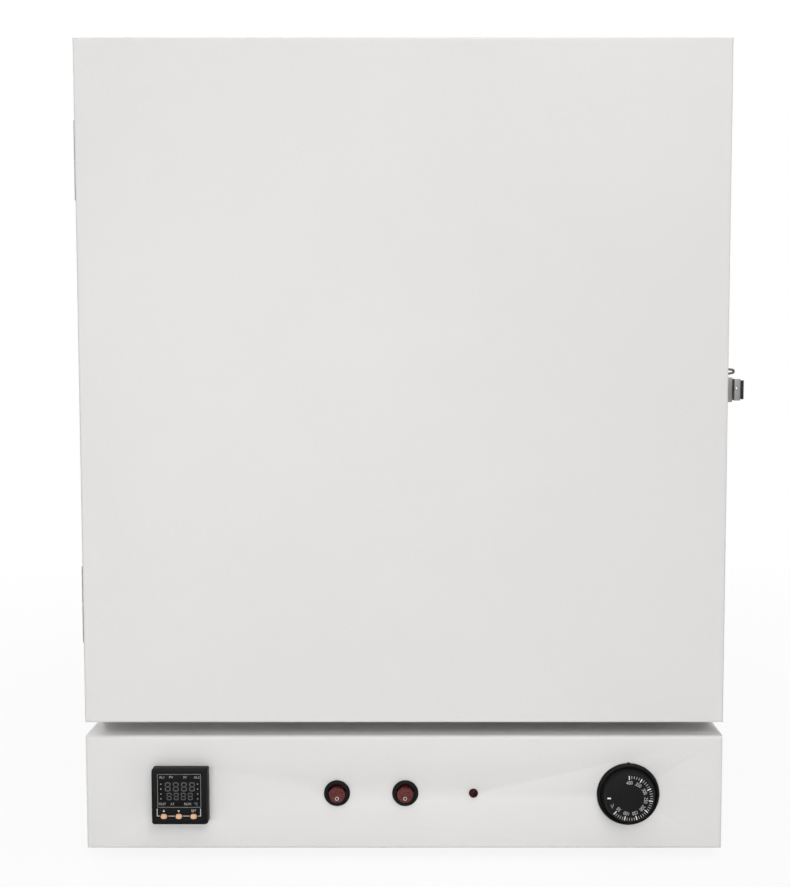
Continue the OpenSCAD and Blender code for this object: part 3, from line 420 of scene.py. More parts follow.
def spread(tree, value, low, high, start=0.3, end=0.7):
    """The value brought to the range from low to high"""
    settings = {"From Min": start, "From Max": end, "To Min": low, "To Max": high}
    return added(tree, "MapRange", settings, Value=value).outputs["Result"]


def rough(tree, shader, value, low, high):
    """The roughness varies from low to high with the value"""
    tree.links.new(spread(tree, value, low, high), shader.inputs["Roughness"])


def tinted(tree, shader, value, dark, light, start=0.3, end=0.7):
    """The base colour varies between two colours with the value"""
    ramp = added(tree, "ValToRGB", Fac=value)
    first, last = ramp.color_ramp.elements
    first.position, first.color = start, dark
    last.position, last.color = end, light
    tree.links.new(ramp.outputs["Color"], shader.inputs["Base Color"])


def bumped(tree, shader, value, depth, strength):
    """Relief of the given depth, in metres"""
    bump = added(tree, "Bump", {"Strength": strength, "Distance": depth}, Height=value)
    tree.links.new(bump.outputs["Normal"], shader.inputs["Normal"])


def shade(colour, share):
    """The colour made lighter or darker by a share"""
    return tuple(min(1, c * share) for c in colour[:3]) + (1,)


def powder_coat(colour):
    """Fine textured white paint, a little uneven over the large panels"""
    material, tree, shader = shader_of("powder_coat", colour, 0.46)
    grain = noise(tree, 480, 2)
    clouds = noise(tree, 3.5, 2)
    tinted(tree, shader, clouds, shade(colour, 0.985), shade(colour, 1.012))
    bumped(tree, shader, grain, 0.00012, 0.8)
    rough(tree, shader, grain, 0.42, 0.54)
    shader.inputs["Specular IOR Level"].default_value = 0.42
    return material


def brushed(name, colour, stretch, low=0.24, high=0.4, relief=0.000006):
    """Brushed metal whose fine lines run along the axis that is stretched least"""
    material, tree, shader = shader_of(name, colour, 0.3, 1.0)
    lines = noise(tree, 1, 4, stretch, 0.65)
    clouds = noise(tree, 14, 3)
    tinted(tree, shader, clouds, shade(colour, 0.9), shade(colour, 1.06))
    bumped(tree, shader, lines, relief, 0.6)
    rough(tree, shader, lines, low, high)
    return material


def zinc_plate(colour):
    """Bright zinc plate with its faint patches"""
    material, tree, shader = shader_of("zinc_plate", colour, 0.38, 1.0)
    patches = added(tree, "TexVoronoi", {"Scale": 55}, Vector=object_place(tree)).outputs[0]
    tinted(tree, shader, patches, shade(colour, 0.9), shade(colour, 1.1), 0.0, 0.9)
    grain = noise(tree, 420, 3)
    rough(tree, shader, grain, 0.3, 0.46)
    bumped(tree, shader, grain, 0.000012, 0.5)
    return material


def moulded(name, colour, roughness, grain_scale=1500, depth=0.00001, specular=0.5):
    """Moulded plastic with a fine eroded grain"""
    material, tree, shader = shader_of(name, colour, roughness)
    grain = noise(tree, grain_scale, 2)
    patches = noise(tree, 60, 2)
    tinted(tree, shader, patches, shade(colour, 0.9), shade(colour, 1.1))
    bumped(tree, shader, grain, depth, 0.6)
    rough(tree, shader, grain, roughness - 0.05, roughness + 0.06)
    shader.inputs["Specular IOR Level"].default_value = specular
    return material


def clear_red(name, colour, skin):
    """Red plastic with a mottled reflector behind it and a gloss skin"""
    material, tree, shader = shader_of(name, colour, 0.22)
    mottle = noise(tree, 620, 3)
    tinted(tree, shader, mottle, shade(colour, 0.5), shade(colour, 1.7), 0.34, 0.68)
    bumped(tree, shader, noise(tree, 700, 1), 0.00001, 0.4)
    shader.inputs["Specular IOR Level"].default_value = skin
    shader.inputs["Coat Weight"].default_value = skin
    shader.inputs["Coat Roughness"].default_value = 0.1
    shader.inputs["Subsurface Weight"].default_value = 0.12
    shader.inputs["Subsurface Radius"].default_value = (0.003, 0.0006, 0.0006)
    return material


def printed(name, colour):
    """Ink or filled engraving"""
    material, tree, shader = shader_of(name, colour, 0.5)
    grain = noise(tree, 1800, 2)
    tinted(tree, shader, grain, shade(colour, 0.9), shade(colour, 1.08))
    bumped(tree, shader, grain, 0.000006, 0.4)
    return material


def soft_rubber(name, colour, roughness):
    """Rubber or silicone with a dull bloom"""
    material, tree, shader = shader_of(name, colour, roughness)
    bloom = noise(tree, 120, 4)
    grain = noise(tree, 1100, 2)
    tinted(tree, shader, bloom, shade(colour, 0.82), shade(colour, 1.18))
    bumped(tree, shader, grain, 0.00002, 0.6)
    rough(tree, shader, bloom, roughness - 0.08, roughness + 0.1)
    shader.inputs["Sheen Weight"].default_value = 0.12
    return material


def mineral_wool():
    """Matted fibre"""
    colour = (0.6, 0.52, 0.31, 1)
    material, tree, shader = shader_of("mineral_wool", colour, 0.95)
    fibres = noise(tree, 160, 6, (1, 3, 1), 0.75)
    tinted(tree, shader, fibres, shade(colour, 0.6), shade(colour, 1.2))
    bumped(tree, shader, fibres, 0.0012, 0.9)
    shader.inputs["Sheen Weight"].default_value = 0.3
    return material


def heated_sheath():
    """Heater tube, brown and blue from the heat"""
    material, tree, shader = shader_of("heater_sheath", (0.16, 0.13, 0.11, 1), 0.45, 0.85)
    stains = noise(tree, 38, 4)
    tinted(tree, shader, stains, (0.2, 0.13, 0.085, 1), (0.1, 0.1, 0.13, 1))
    bumped(tree, shader, noise(tree, 600, 3), 0.00002, 0.5)
    rough(tree, shader, stains, 0.35, 0.6)
    return material


def window_black():
    """Smoked window of the controller"""
    material, tree, shader = shader_of("window_black", (0.004, 0.004, 0.005, 1), 0.12)
    wipe = noise(tree, 90, 3)
    tinted(tree, shader, wipe, (0.003, 0.003, 0.004, 1), (0.005, 0.005, 0.006, 1))
    rough(tree, shader, wipe, 0.1, 0.2)
    shader.inputs["Specular IOR Level"].default_value = 0.12
    return material


def ceramic():
    """Unglazed ceramic with fine specks"""
    colour = (0.74, 0.72, 0.66, 1)
    material, tree, shader = shader_of("terminal_ceramic", colour, 0.55)
    specks = noise(tree, 500, 4)
    tinted(tree, shader, specks, shade(colour, 0.88), shade(colour, 1.06))
    bumped(tree, shader, specks, 0.00002, 0.5)
    return material


FINISHES = {}


def finish(name):
    """The material of that name, made once from the colours of the panel"""
    if name not in FINISHES:
        look = bpy.context.scene.sterilizer_finish
        steel, lens, marks = tuple(look.steel), tuple(look.lens), tuple(look.marks)
        dark, even, fine = tuple(look.plastic), (300, 300, 300), 0.000004
        makers = {
            "paint": (powder_coat, tuple(look.paint)),
            "stainless_upright": (brushed, "stainless_upright", steel, (900, 900, 9)),
            "stainless_across": (brushed, "stainless_across", steel, (9, 900, 900)),
            "stainless_deep": (brushed, "stainless_deep", steel, (900, 9, 900)),
            "latch_steel": (brushed, "latch_steel", shade(steel, 0.62), (700, 700, 40), 0.44, 0.6,
                            0.00001),
            "spring_steel": (brushed, "spring_steel", shade(steel, 0.24), even, 0.34, 0.46, fine),
            "bright_steel": (brushed, "bright_steel", shade(steel, 1.1), even, 0.16, 0.28, fine),
            "zinc": (zinc_plate, shade(steel, 1.0)),
            "black": (moulded, "black_plastic", dark, 0.42, 1500, 0.00001, 0.1),
            "dial": (moulded, "dial_plastic", shade(dark, 2.0), 0.46, 1100, 0.000012, 0.08),
            "grip": (moulded, "grip_plastic", shade(dark, 4.0), 0.5, 900, 0.00002, 0.2),
            "case": (moulded, "case_plastic", (0.03, 0.03, 0.032, 1), 0.5),
            "relay": (moulded, "relay_plastic", (0.045, 0.048, 0.055, 1), 0.45),
            "button": (moulded, "button_plastic", tuple(look.button), 0.42, 1600, 0.000006),
            "rocker": (clear_red, "rocker_red", lens, 0.25),
            "lamp": (clear_red, "lamp_red", shade(lens, 0.3), 0.06),
            "marks": (printed, "white_marks", marks),
            "faint_marks": (printed, "grey_legends", shade(marks, 0.62)),
            "bright_marks": (printed, "bright_scale", shade(marks, 1.35)),
            "number_marks": (printed, "dial_numbers", shade(marks, 0.8)),
            "segments": (printed, "unlit_segments", (0.055, 0.055, 0.057, 1)),
            "window": (window_black,),
            "rubber": (soft_rubber, "foot_rubber", (0.022, 0.022, 0.023, 1), 0.62),
            "wire": (soft_rubber, "wire_sleeve", (0.05, 0.05, 0.055, 1), 0.5),
            "seal": (soft_rubber, "seal_silicone", tuple(look.seal), 0.5),
            "wool": (mineral_wool,),
            "heater": (heated_sheath,),
            "copper": (brushed, "copper_tube", (0.62, 0.32, 0.2, 1), (200, 200, 200), 0.26, 0.42),
            "brass": (brushed, "turned_brass", (0.62, 0.45, 0.18, 1), (40, 40, 900), 0.2, 0.36),
            "ceramic": (ceramic,),
        }
        maker, *values = makers[name]
        FINISHES[name] = maker(*values)
    return FINISHES[name]


# Pieces


# The screws: radius and height of the head, and length of the shank that is seen
SCREW_HEAD = 0.0036
SCREW_HEIGHT = 0.0022
SCREW_SHANK = 0.0031


def screw(name, out):
    """A pan head screw with a cross in its head, its head's underside on the origin"""
    head, height = SCREW_HEAD, SCREW_HEIGHT
    outline = [(0, -SCREW_SHANK), (0.002, -SCREW_SHANK), (0.002, 0), (head, 0),
               (head * 0.97, height * 0.42), (head * 0.8, height * 0.8),
               (head * 0.5, height * 0.97), (0, height)]
    piece = profile(name, outline, (0, 0, 0), out, 24)
    across = out.orthogonal().normalized()
    for arm in (across, out.cross(across)):
        other = out.cross(arm)
        reach, half = head * 0.5, head * 0.1
        low = out * height * 0.45 - arm * reach - other * half
        high = out * height * 1.3 + arm * reach + other * half
        corners = [Vector(f(p, q) for p, q in zip(low, high)) for f in (min, max)]
        cut(piece, slab("cross", *corners))
    return smooth(piece)


def screws(node, axis, side):
    """The screws of a CAD node on one side, drawn once and copied to each place"""
    out = Vector(axis)
    faces = frame["nodes"][node].data.polygons
    centres = [f.center.copy() for f in faces if f.normal.dot(out) > FACING and side(f.center)]
    far = max(centre.dot(out) for centre in centres)
    groups = []
    for centre in centres:
        if centre.dot(out) > far - 0.0012:
            for group in groups:
                if (group[0] - centre).length < SCREW_HEAD * 1.6:
                    group.append(centre)
                    break
            else:
                groups.append([centre])
    first = screw(node + ".first", out)
    places = [sum(group, Vector()) / len(group) - out * SCREW_HEIGHT for group in groups]
    pieces = [copied(first, f"{node}.{i}", Matrix.Translation(place))
              for i, place in enumerate(places)]
    bpy.data.objects.remove(first)
    return pieces


class STERILIZER_OT_door(bpy.types.Operator):
    """Folds the door's tray, its liner with the stamped pan, its wool and its seal"""

    bl_idname = "sterilizer.door"
    bl_label = "Door"

    def execute(self, context):
        low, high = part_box("door_skin")
        front, back = low.y, high.y
        fold, upright = 0.0026, 0.03
        tray = slab("door_tray", low, high)
        bevelled(tray, fold, 6, lambda a, b: max(abs(c.y - front) for c in (a, b)) < SAME_PLACE)
        bevelled(tray, context.scene.sterilizer_size.edge, 3,
                 lambda a, b: abs(a.y - b.y) > upright and abs(abs(a.x) - high.x) < 2 * SHEET)
        edit(tray, "FACE", lambda centre, normal: normal.y > 0.9 and centre.y > back - 1e-5)
        bpy.ops.mesh.inset(thickness=SHEET, depth=0)
        hollow = (0, front + SHEET - back, 0)
        bpy.ops.mesh.extrude_region_move(TRANSFORM_OT_translate={"value": hollow})
        done()
        fitted(smooth(outward(tray), 40), "door_skin", "paint")
        dressed("stainless_upright", 0.0011, 3, "door_liner")
        dressed("wool", 0.002, 2, "door_insulation")

        low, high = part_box("door_gasket")
        corner, strip, lip = 0.018, 0.0147, 0.0024
        seal = slab("door_seal", low, high)
        bevelled(seal, corner, 8, lambda a, b: abs(a.y - b.y) > 0.003)
        edit(seal, "FACE", lambda centre, normal: abs(normal.y) > 0.9)
        bpy.ops.mesh.inset(thickness=strip, depth=0)
        bpy.ops.mesh.bridge_edge_loops()
        done()
        bevelled(outward(seal), lip, 5, lambda a, b: min(a.y, b.y) > high.y - 1e-5)
        fitted(smooth(seal, 50), "door_gasket", "seal")
        return {"FINISHED"}


class STERILIZER_OT_casing(bpy.types.Operator):
    """Rounds and paints the base, the cabinet and their sheets, and fills in the wool"""

    bl_idname = "sterilizer.casing"
    bl_label = "Casing"

    def execute(self, context):
        edge = context.scene.sterilizer_size.edge
        dressed("paint", edge * 0.9, 2, "base_shell", "base_back", "cabinet_shell", "cabinet_back")
        dressed("zinc", 0.0003, 2, "base_bottom", "cabinet_floor")
        dressed("stainless_across", 0.0005, 2, "front_frame")
        dressed("wool", 0.003, 2,
                "insulation_bottom", "insulation_top", "insulation_sides", "insulation_rear")
        return {"FINISHED"}


class STERILIZER_OT_feet(bpy.types.Operator):
    """Turns the rubber feet, each with a grooved side and a hollow underneath"""

    bl_idname = "sterilizer.feet"
    bl_label = "Feet"

    def execute(self, context):
        low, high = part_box("feet")
        top = high.z - low.z
        outline = [(0, 0.0045), (0.0044, 0.0045), (0.005, 0.004), (0.005, 0), (0.0125, 0),
                   (0.0137, 0.0008), (0.0139, 0.003), (0.0133, 0.0037), (0.0139, 0.0044),
                   (0.0146, top - 0.0018), (0.0148, top), (0, top)]
        first = smooth(profile("foot", outline, (0, 0, low.z), (0, 0, 1), 48))
        radius = 0.015
        feet = [copied(first, "foot_part", Matrix.Translation((x, y, 0)))
                for x in (low.x + radius, high.x - radius)
                for y in (low.y + radius, high.y - radius)]
        bpy.data.objects.remove(first)
        fitted(joined("rubber_feet", *feet), "feet", "rubber")
        return {"FINISHED"}


class STERILIZER_OT_controller(bpy.types.Operator):
    """Builds the controller: frame, window, digits, legends, bracket line and buttons"""

    bl_idname = "sterilizer.controller"
    bl_label = "Controller"

    def execute(self, context):
        size = context.scene.sterilizer_size
        dressed("black", 0.0004, 3, "controller_bezel")
        dressed("case", 0.0005, 2, "controller_case")
        dressed("window", 0.0002, 2, "controller_window")
        centre = middle("controller_bezel")
        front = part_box("controller_bezel")[0].y
        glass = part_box("controller_window")[0].y

        # The places below are in millimetres across and up from the frame's middle
        def at(x, z, y):
            return Vector((centre.x + x * MM, y, centre.z + z * MM))

        def bar(x0, z0, x1, z1, y, name):
            return slab(name, at(x0, z0, y - size.relief), at(x1, z1, y + size.relief))

        def digit(x, z, width, height):
            """Seven separate segments of one digit, each a bar with pointed ends"""
            t = height * 0.13
            half = height / 2
            places = [(x, z + half - t / 2, False), (x, z, False), (x, z - half + t / 2, False)]
            places += [(x + sx * (width / 2 - t / 2), z + sz * (half / 2), True)
                       for sx in (-1, 1) for sz in (-1, 1)]
            for px, pz, upright in places:
                run = (half - t * 0.9 if upright else width - t * 1.3) / 2
                piece = bar(px - run, pz - t / 2, px + run, pz + t / 2, glass, "segment")
                bevelled(piece, t * 0.42 * MM, 1, lambda a, b: abs(a.y - b.y) > size.relief)
                if upright:
                    piece.data.transform(about(at(px, pz, glass), quarter))
                segments.append(piece)

        segments = []
        quarter = Matrix.Rotation(math.pi / 2, 4, "Y")
        tall = size.digit_height / MM
        for i in range(4):
            digit(-9.9 + i * 7.05, 9.3, 5.0, tall)
            digit(-8.75 + i * 6.15, 0.75, 4.3, tall * 0.8)
        carried(joined("display_digits", *segments), "segments", "cabinet")

        upper, lower, ink = 17.8, -5.9, glass - size.relief
        faint = [lettering("legend", word, 2.1 * MM, at(x, z, ink), 0, size.relief)
                 for x, z, word in ((-15.1, upper, "AL1"), (-6.8, upper, "PV"), (5.4, upper, "SV"),
                                    (15.4, upper, "AL2"), (-14.8, lower, "OUT"), (-6, lower, "AT"),
                                    (7.2, lower, "RUN"), (14.6, lower, "°C"))]
        ink = glass - size.relief / 2
        dot = 0.45
        faint += [bar(x - dot, z - dot, x + dot, z + dot, ink, "dot")
                  for z in (11.8, 7.4, 3.0, -1.35) for x in (-15.9, 16.1)]
        side, top, bottom, line = 18.9, 20.6, -8.95, 0.25
        faint += [bar(*ends, ink, "frame_line")
                  for ends in ((-side, top - line, side, top), (-side, bottom, side, bottom + line),
                               (-side, bottom + line, line - side, top - line),
                               (side - line, bottom + line, side, top - line))]
        carried(joined("display_legends", *faint), "faint_marks", "cabinet")

        line, foot = 0.28, -16.6
        bold = [bar(x0, foot - line, x1, foot + line, front, "bracket")
                for x0, x1 in ((-19.6, -17.1), (-9.9, -4.1), (3.1, 8.9), (16.1, 18.8))]
        bold += [bar(x - line, foot + line, x + line, -10, front, "bracket_end")
                 for x in (line - 19.6, 18.8 - line)]
        for x, turn in ((-13.5, 0.0), (-0.5, math.pi)):
            place = at(x, -12.2, front)
            thick = Vector((0, size.relief, 0))
            head = rod("arrow", place - thick, place + thick, 1.25 * MM, 3)
            turned = Matrix.Rotation(turn + self.up(head, place), 4, "Y")
            head.data.transform(about(place, turned))
            bold.append(head)
        place = at(12.5, -12, front)
        bold.append(lettering("set_mark", "SET", 1.9 * MM, place, 0, size.relief * 2))
        carried(joined("controller_marks", *bold), "marks", "cabinet")

        dressed("button", 0.00045, 4, "button_up", "button_down_key", "button_set", angle=40)
        return {"FINISHED"}

    @staticmethod
    def up(piece, centre):
        """The turn about the depth axis that brings the first corner of a triangle to the top"""
        corner = max((v.co - centre for v in piece.data.vertices), key=lambda c: c.z)
        return math.atan2(-corner.x, corner.z)


class STERILIZER_OT_switches(bpy.types.Operator):
    """Makes the two round rocker switches with their bezels and marks, and the heating lamp"""

    bl_idname = "sterilizer.switches"
    bl_label = "Switches and lamp"

    def execute(self, context):
        size = context.scene.sterilizer_size
        dressed("black", 0.0003, 3, "switch_bodies", angle=25)
        # The rocker's face is a hollow arc, and the off mark lies against its lower half
        hollow, axis_depth, drop, tilt = 14, 18.1, -3.7, math.radians(10)
        depth = math.sqrt(hollow ** 2 - drop ** 2) - axis_depth
        place = Vector((0, (depth - 0.1) * MM, drop * MM))
        for node in ("rocker_mains", "rocker_heater"):
            dressed("rocker", 0.0004, 3, node)
            body = BODY_OF[node]
            pin = next(j for j in frame["joints"] if j["child"] == body)["pos_m"]
            mark = lettering(node + "_mark", "O", 3.1 * MM, (0, 0, 0), 0, size.relief)
            mark.data.transform(
                Matrix.Translation(Vector(pin)) @ Matrix.Rotation(tilt, 4, "X")
                @ Matrix.Translation(place) @ Matrix.Rotation(math.asin(drop / hollow), 4, "X"))
            carried(mark, "marks", body)
        low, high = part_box("heating_lamp")
        centre = middle("heating_lamp")
        length = high.y - low.y
        outline = [(0, 0), (0.0011, 0.00003), (0.0022, 0.0002), (0.0027, 0.0005), (0.0029, 0.0011),
                   (0.0037, 0.0016), (0.004, 0.0019), (0.004, 0.0026), (0.003, 0.0026),
                   (0.003, length), (0, length)]
        lens = profile("lamp_lens", outline, (centre.x, low.y, centre.z), (0, 1, 0), 48)
        near, far = (Vector((centre.x, high.y - back, centre.z)) for back in (0.0165, 0.014))
        nut = rod("lamp_nut", near, far, 0.0049, 6)
        fitted(joined("lamp", smooth(lens), rounded(nut, 0.0003)), "heating_lamp", "lamp")
        return {"FINISHED"}


class STERILIZER_OT_dial(bpy.types.Operator):
    """Turns the thermostat's dial and bezel, and prints the scale, the numbers and the off mark"""

    bl_idname = "sterilizer.dial"
    bl_label = "Dial"

    def execute(self, context):
        size = context.scene.sterilizer_size
        low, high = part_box("dial_knob")
        centre = middle("dial_knob")
        front = low.y
        depth = high.y - front
        wide = (high.x - low.x) / 2
        axis = (0, 1, 0)
        # The raised face's radius and set back, the hub's, the shaft hole's and the hollow's depth
        face, crown, hub, hole, floor = 0.0215, 0.00012, 0.0067, 0.00305, 0.004
        outline = [(0, crown), (face - 0.0009, crown), (face - 0.0003, 0.0003), (face, 0.0009),
                   (wide - 0.0003, depth - 0.0026), (wide, depth - 0.0019),
                   (wide - 0.0006, depth - 0.0017), (wide - 0.0034, depth - 0.0017),
                   (face - 0.0024, floor), (hub, floor), (hub, depth), (hole, depth),
                   (hole, floor), (0, floor)]
        knob = profile("dial_face", outline, (centre.x, front, centre.z), axis, 120)
        fitted(smooth(knob, 28), "dial_knob", "dial")
        dressed("bright_steel", 0.0003, 2, "thermostat_shaft")

        low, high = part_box("dial_bezel")
        across = (low.x + high.x) / 2
        swell, bore = 0.0002, 0.0071
        wide = (high.x - low.x) / 2 - swell
        deep = high.y - low.y
        outline = [(bore, deep), (wide, deep), (wide + swell, deep - 0.0006), (wide, 0.0014),
                   (wide - 0.0005, 0.0006), (wide - 0.0013, 0.0001), (wide - 0.0022, 0),
                   (wide - 0.0028, 0.0004), (wide - 0.0034, 0.0016), (bore, 0.0017), (bore, deep)]
        bezel = profile("bezel_ring", outline, (across, low.y, centre.z), axis, 144)
        half, rim = 0.0011, centre.z + wide
        pointer = slab("bezel_pointer", (across - half, high.y - 0.0021, rim - 0.001),
                       (across + half, high.y, rim + 0.0008))
        surround = joined("dial_surround", smooth(bezel, 40), rounded(pointer, 0.0003))
        fitted(surround, "dial_bezel", "black")

        surface = front + crown
        marks, numbers = [], []

        def on_dial(radius, angle):
            """A point on the dial's face, the angle clockwise from the top as the front is seen"""
            return Vector((centre.x + radius * math.sin(angle), surface - size.relief / 2,
                           centre.z + radius * math.cos(angle)))

        def tick(angle, outer, length, width, group):
            piece = slab("tick", (-width / 2, -size.relief, outer - length),
                         (width / 2, size.relief / 2, outer))
            turn = Matrix.Rotation(angle, 4, "Y")
            piece.data.transform(Matrix.Translation((centre.x, surface, centre.z)) @ turn)
            group.append(piece)

        def number(name, text, share, radius, angle, narrow):
            numbers.append(lettering(name, text, size.number_height * share, on_dial(radius, angle),
                                     angle, size.relief, narrow))

        # The angles of the numbers 400 to 50 on the dial's uneven scale
        turn_of = [-3.0, 31.0, 64.5, 97.6, 129.0, 162.0, 194.0, 225.4]
        between, outer, thick, thin = 5, 0.02, 0.00085, 0.00042
        for i, start in enumerate(turn_of):
            angle = math.radians(start)
            tick(angle, outer, size.tick_length, thick, marks)
            number("number", str(400 - 50 * i), 1, 0.0138, angle, 0.82)
            for end in turn_of[i + 1:i + 2]:
                for j in range(1, between):
                    angle = math.radians(start + (end - start) * j / between)
                    tick(angle, outer, size.tick_length * 0.72, thin, numbers)
        number("degree_mark", "°C", 0.85, 0.0166, math.radians(246), 0.85)
        tick(math.radians(270), 0.0198, 0.0030, 0.0012, marks)
        carried(joined("dial_scale", *marks), "bright_marks", "dial")
        carried(joined("dial_numbers", *numbers), "number_marks", "dial")
        return {"FINISHED"}


class STERILIZER_OT_latch(bpy.types.Operator):
    """Finishes the side latch: bracket, pin, spring clip, claw, ribbed grip and keeper"""

    bl_idname = "sterilizer.latch"
    bl_label = "Latch"

    def execute(self, context):
        dressed("latch_steel", 0.0005, 3, "latch_bracket")
        dressed("latch_steel", 0.00055, 3, "latch_claw")
        dressed("latch_steel", 0.0005, 3, "latch_keeper")
        dressed("bright_steel", 0.0003, 3, "latch_pin")
        dressed("grip", 0.0005, 3, "latch_grip", angle=40)
        low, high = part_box("latch_clip")
        y = (low.y + high.y) / 2
        r = (high.y - low.y) / 2
        # The clip's lower leg, its round eye and its upper leg
        eye = 0.0015
        foot = low.z + r
        points = [(low.x, y, foot), (low.x + 0.009, y, foot), (high.x - 0.0025, y, foot + 0.0013)]
        for i in range(9):
            angle = -1.2 + i * 0.34
            points.append((high.x - eye - r + eye * math.cos(angle), y,
                           foot + 0.0028 + eye * math.sin(angle)))
        points.append((low.x + 0.004, y, high.z - r))
        fitted(smooth(wire("spring_clip", points, r), 60), "latch_clip", "spring_steel")

        # The claw's rivet is drawn with the claw hooked and turned with it to its place at rest
        rivet = [(0, 0), (0.0007, 0.00004), (0.0012, 0.0003), (0.0015, 0.0007), (0.0015, 0.0012),
                 (0, 0.0012)]
        pin = middle("latch_pin")
        out, depth, swung = 0.0021, -0.2382, math.radians(6.491)
        head = profile("claw_rivet", rivet, (pin.x + out, depth, pin.z), (0, 1, 0), 24)
        head.data.transform(about(pin, Matrix.Rotation(swung, 4, "Z")))
        carried(smooth(head), "bright_steel", "claw")
        return {"FINISHED"}


class STERILIZER_OT_hinges(bpy.types.Operator):
    """Finishes both lift-off hinges with their pins"""

    bl_idname = "sterilizer.hinges"
    bl_label = "Hinges"

    def execute(self, context):
        dressed("latch_steel", 0.0004, 3, "hinge_cabinet_leaves", "hinge_door_leaves")
        dressed("bright_steel", 0.0004, 3, "hinge_pins")
        return {"FINISHED"}


class STERILIZER_OT_screws(bpy.types.Operator):
    """Sets a cross head screw at every screw of the casing, the hinges and the latch"""

    bl_idname = "sterilizer.screws"
    bl_label = "Screws"

    def execute(self, context):
        left_and_right = [((-1, 0, 0), lambda c: c.x < 0), ((1, 0, 0), lambda c: c.x > 0)]
        sides = {
            "cabinet_screws": [((0, 1, 0), lambda c: True)],
            "base_screws": [((0, 1, 0), lambda c: c.z > 0.02),
                            ((0, 0, -1), lambda c: c.z < 0.0095)],
            "cabinet_side_screws": left_and_right,
            "door_side_screws": left_and_right,
        }
        for node, kinds in sides.items():
            pieces = [piece for axis, side in kinds for piece in screws(node, axis, side)]
            fitted(joined(node + ".set", *pieces), node, "zinc")
        return {"FINISHED"}


class STERILIZER_OT_chamber(bpy.types.Operator):
    """Finishes the stainless chamber with its racks, wire shelves and perforated plate"""

    bl_idname = "sterilizer.chamber"
    bl_label = "Chamber"

    def execute(self, context):
        dressed("stainless_upright", 0.0006, 2, "chamber")
        dressed("stainless_deep", 0.0003, 2, "shelf_racks")
        dressed("stainless_across", 0.0004, 2, "floor_plate")
        for node in ("shelf_upper", "shelf_lower"):
            fitted(self.shelf(node), node, "bright_steel")
        return {"FINISHED"}

    @staticmethod
    def shelf(node):
        """A wire shelf: one closed rod frame with round corners, cross rods and welded wires"""
        low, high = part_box(node)
        r, thin, bend = 0.003, 0.0015, 0.014
        z = (low.z + high.z) / 2
        left, right = low.x + r + bend, high.x - r - bend
        near, far = low.y + r + bend, high.y - r - bend
        points = []
        for quarter, (x, y) in enumerate(((right, far), (left, far), (left, near), (right, near))):
            for i in range(7):
                angle = (quarter + i / 6) * math.pi / 2
                points.append((x + bend * math.cos(angle), y + bend * math.sin(angle), z))
        parts = [wire("shelf_rim", points, r, closed=True)]
        start, end, gaps = low.x + r, high.x - r, 16
        for i in range(1, gaps):
            x = start + (end - start) * i / gaps
            parts.append(rod("shelf_wire", (x, low.y + r, z), (x, high.y - r, z), thin, 12))
        under = z - thin * 1.4
        for share in (0.25, 0.5, 0.75):
            y = low.y + (high.y - low.y) * share
            parts.append(rod("shelf_cross", (start, y, under), (end, y, under), thin, 12))
        return smooth(joined(node + ".wires", *parts), 45)


class STERILIZER_OT_heater(bpy.types.Operator):
    """Finishes the heater, its bushings, the temperature probe and the thermostat's bulb"""

    bl_idname = "sterilizer.heater"
    bl_label = "Heater and sensors"

    def execute(self, context):
        fitted(smooth(refined("heater"), 40), "heater", "heater")
        dressed("brass", 0.0004, 2, "heater_bushings")
        dressed("bright_steel", 0.0006, 3, "temperature_probe")
        dressed("copper", 0.0004, 2, "thermostat_bulb", angle=50)
        return {"FINISHED"}


class STERILIZER_OT_exhaust(bpy.types.Operator):
    """Finishes the exhaust spigot on the back and the damper with its lever"""

    bl_idname = "sterilizer.exhaust"
    bl_label = "Exhaust"

    def execute(self, context):
        dressed("stainless_deep", 0.0003, 2, "exhaust_spigot")
        dressed("bright_steel", 0.0003, 2, "exhaust_damper", angle=40)
        return {"FINISHED"}


class STERILIZER_OT_electrics(bpy.types.Operator):
    """Finishes the inlet and its fuse drawer, thermostat, relay, terminals and wires"""

    bl_idname = "sterilizer.electrics"
    bl_label = "Inlet and wiring"

    def execute(self, context):
        dressed("black", 0.0004, 2, "inlet")
        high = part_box("inlet")[1]
        centre = middle("inlet")
        back, front = high.y - 0.0165, high.y - 0.0022
        half, height = 0.00115, 0.0044
        pins = []
        for x, drop in ((-0.007, 0.0181), (0, 0.0161), (0.007, 0.0181)):
            x, z = centre.x + x, centre.z - drop
            pin = slab("pin", (x - half, back, z), (x + half, front, z + height))
            pins.append(rounded(pin, 0.0004))
        carried(smooth(joined("inlet_pins", *pins)), "bright_steel", "cabinet")
        dressed("case", 0.0005, 3, "fuse_drawer")
        dressed("zinc", 0.0008, 2, "thermostat_body")
        dressed("relay", 0.0008, 2, "relay")
        dressed("ceramic", 0.0005, 2, "terminal_block")
        fitted(smooth(refined("wiring_loom"), 50), "wiring_loom", "wire")
        return {"FINISHED"}


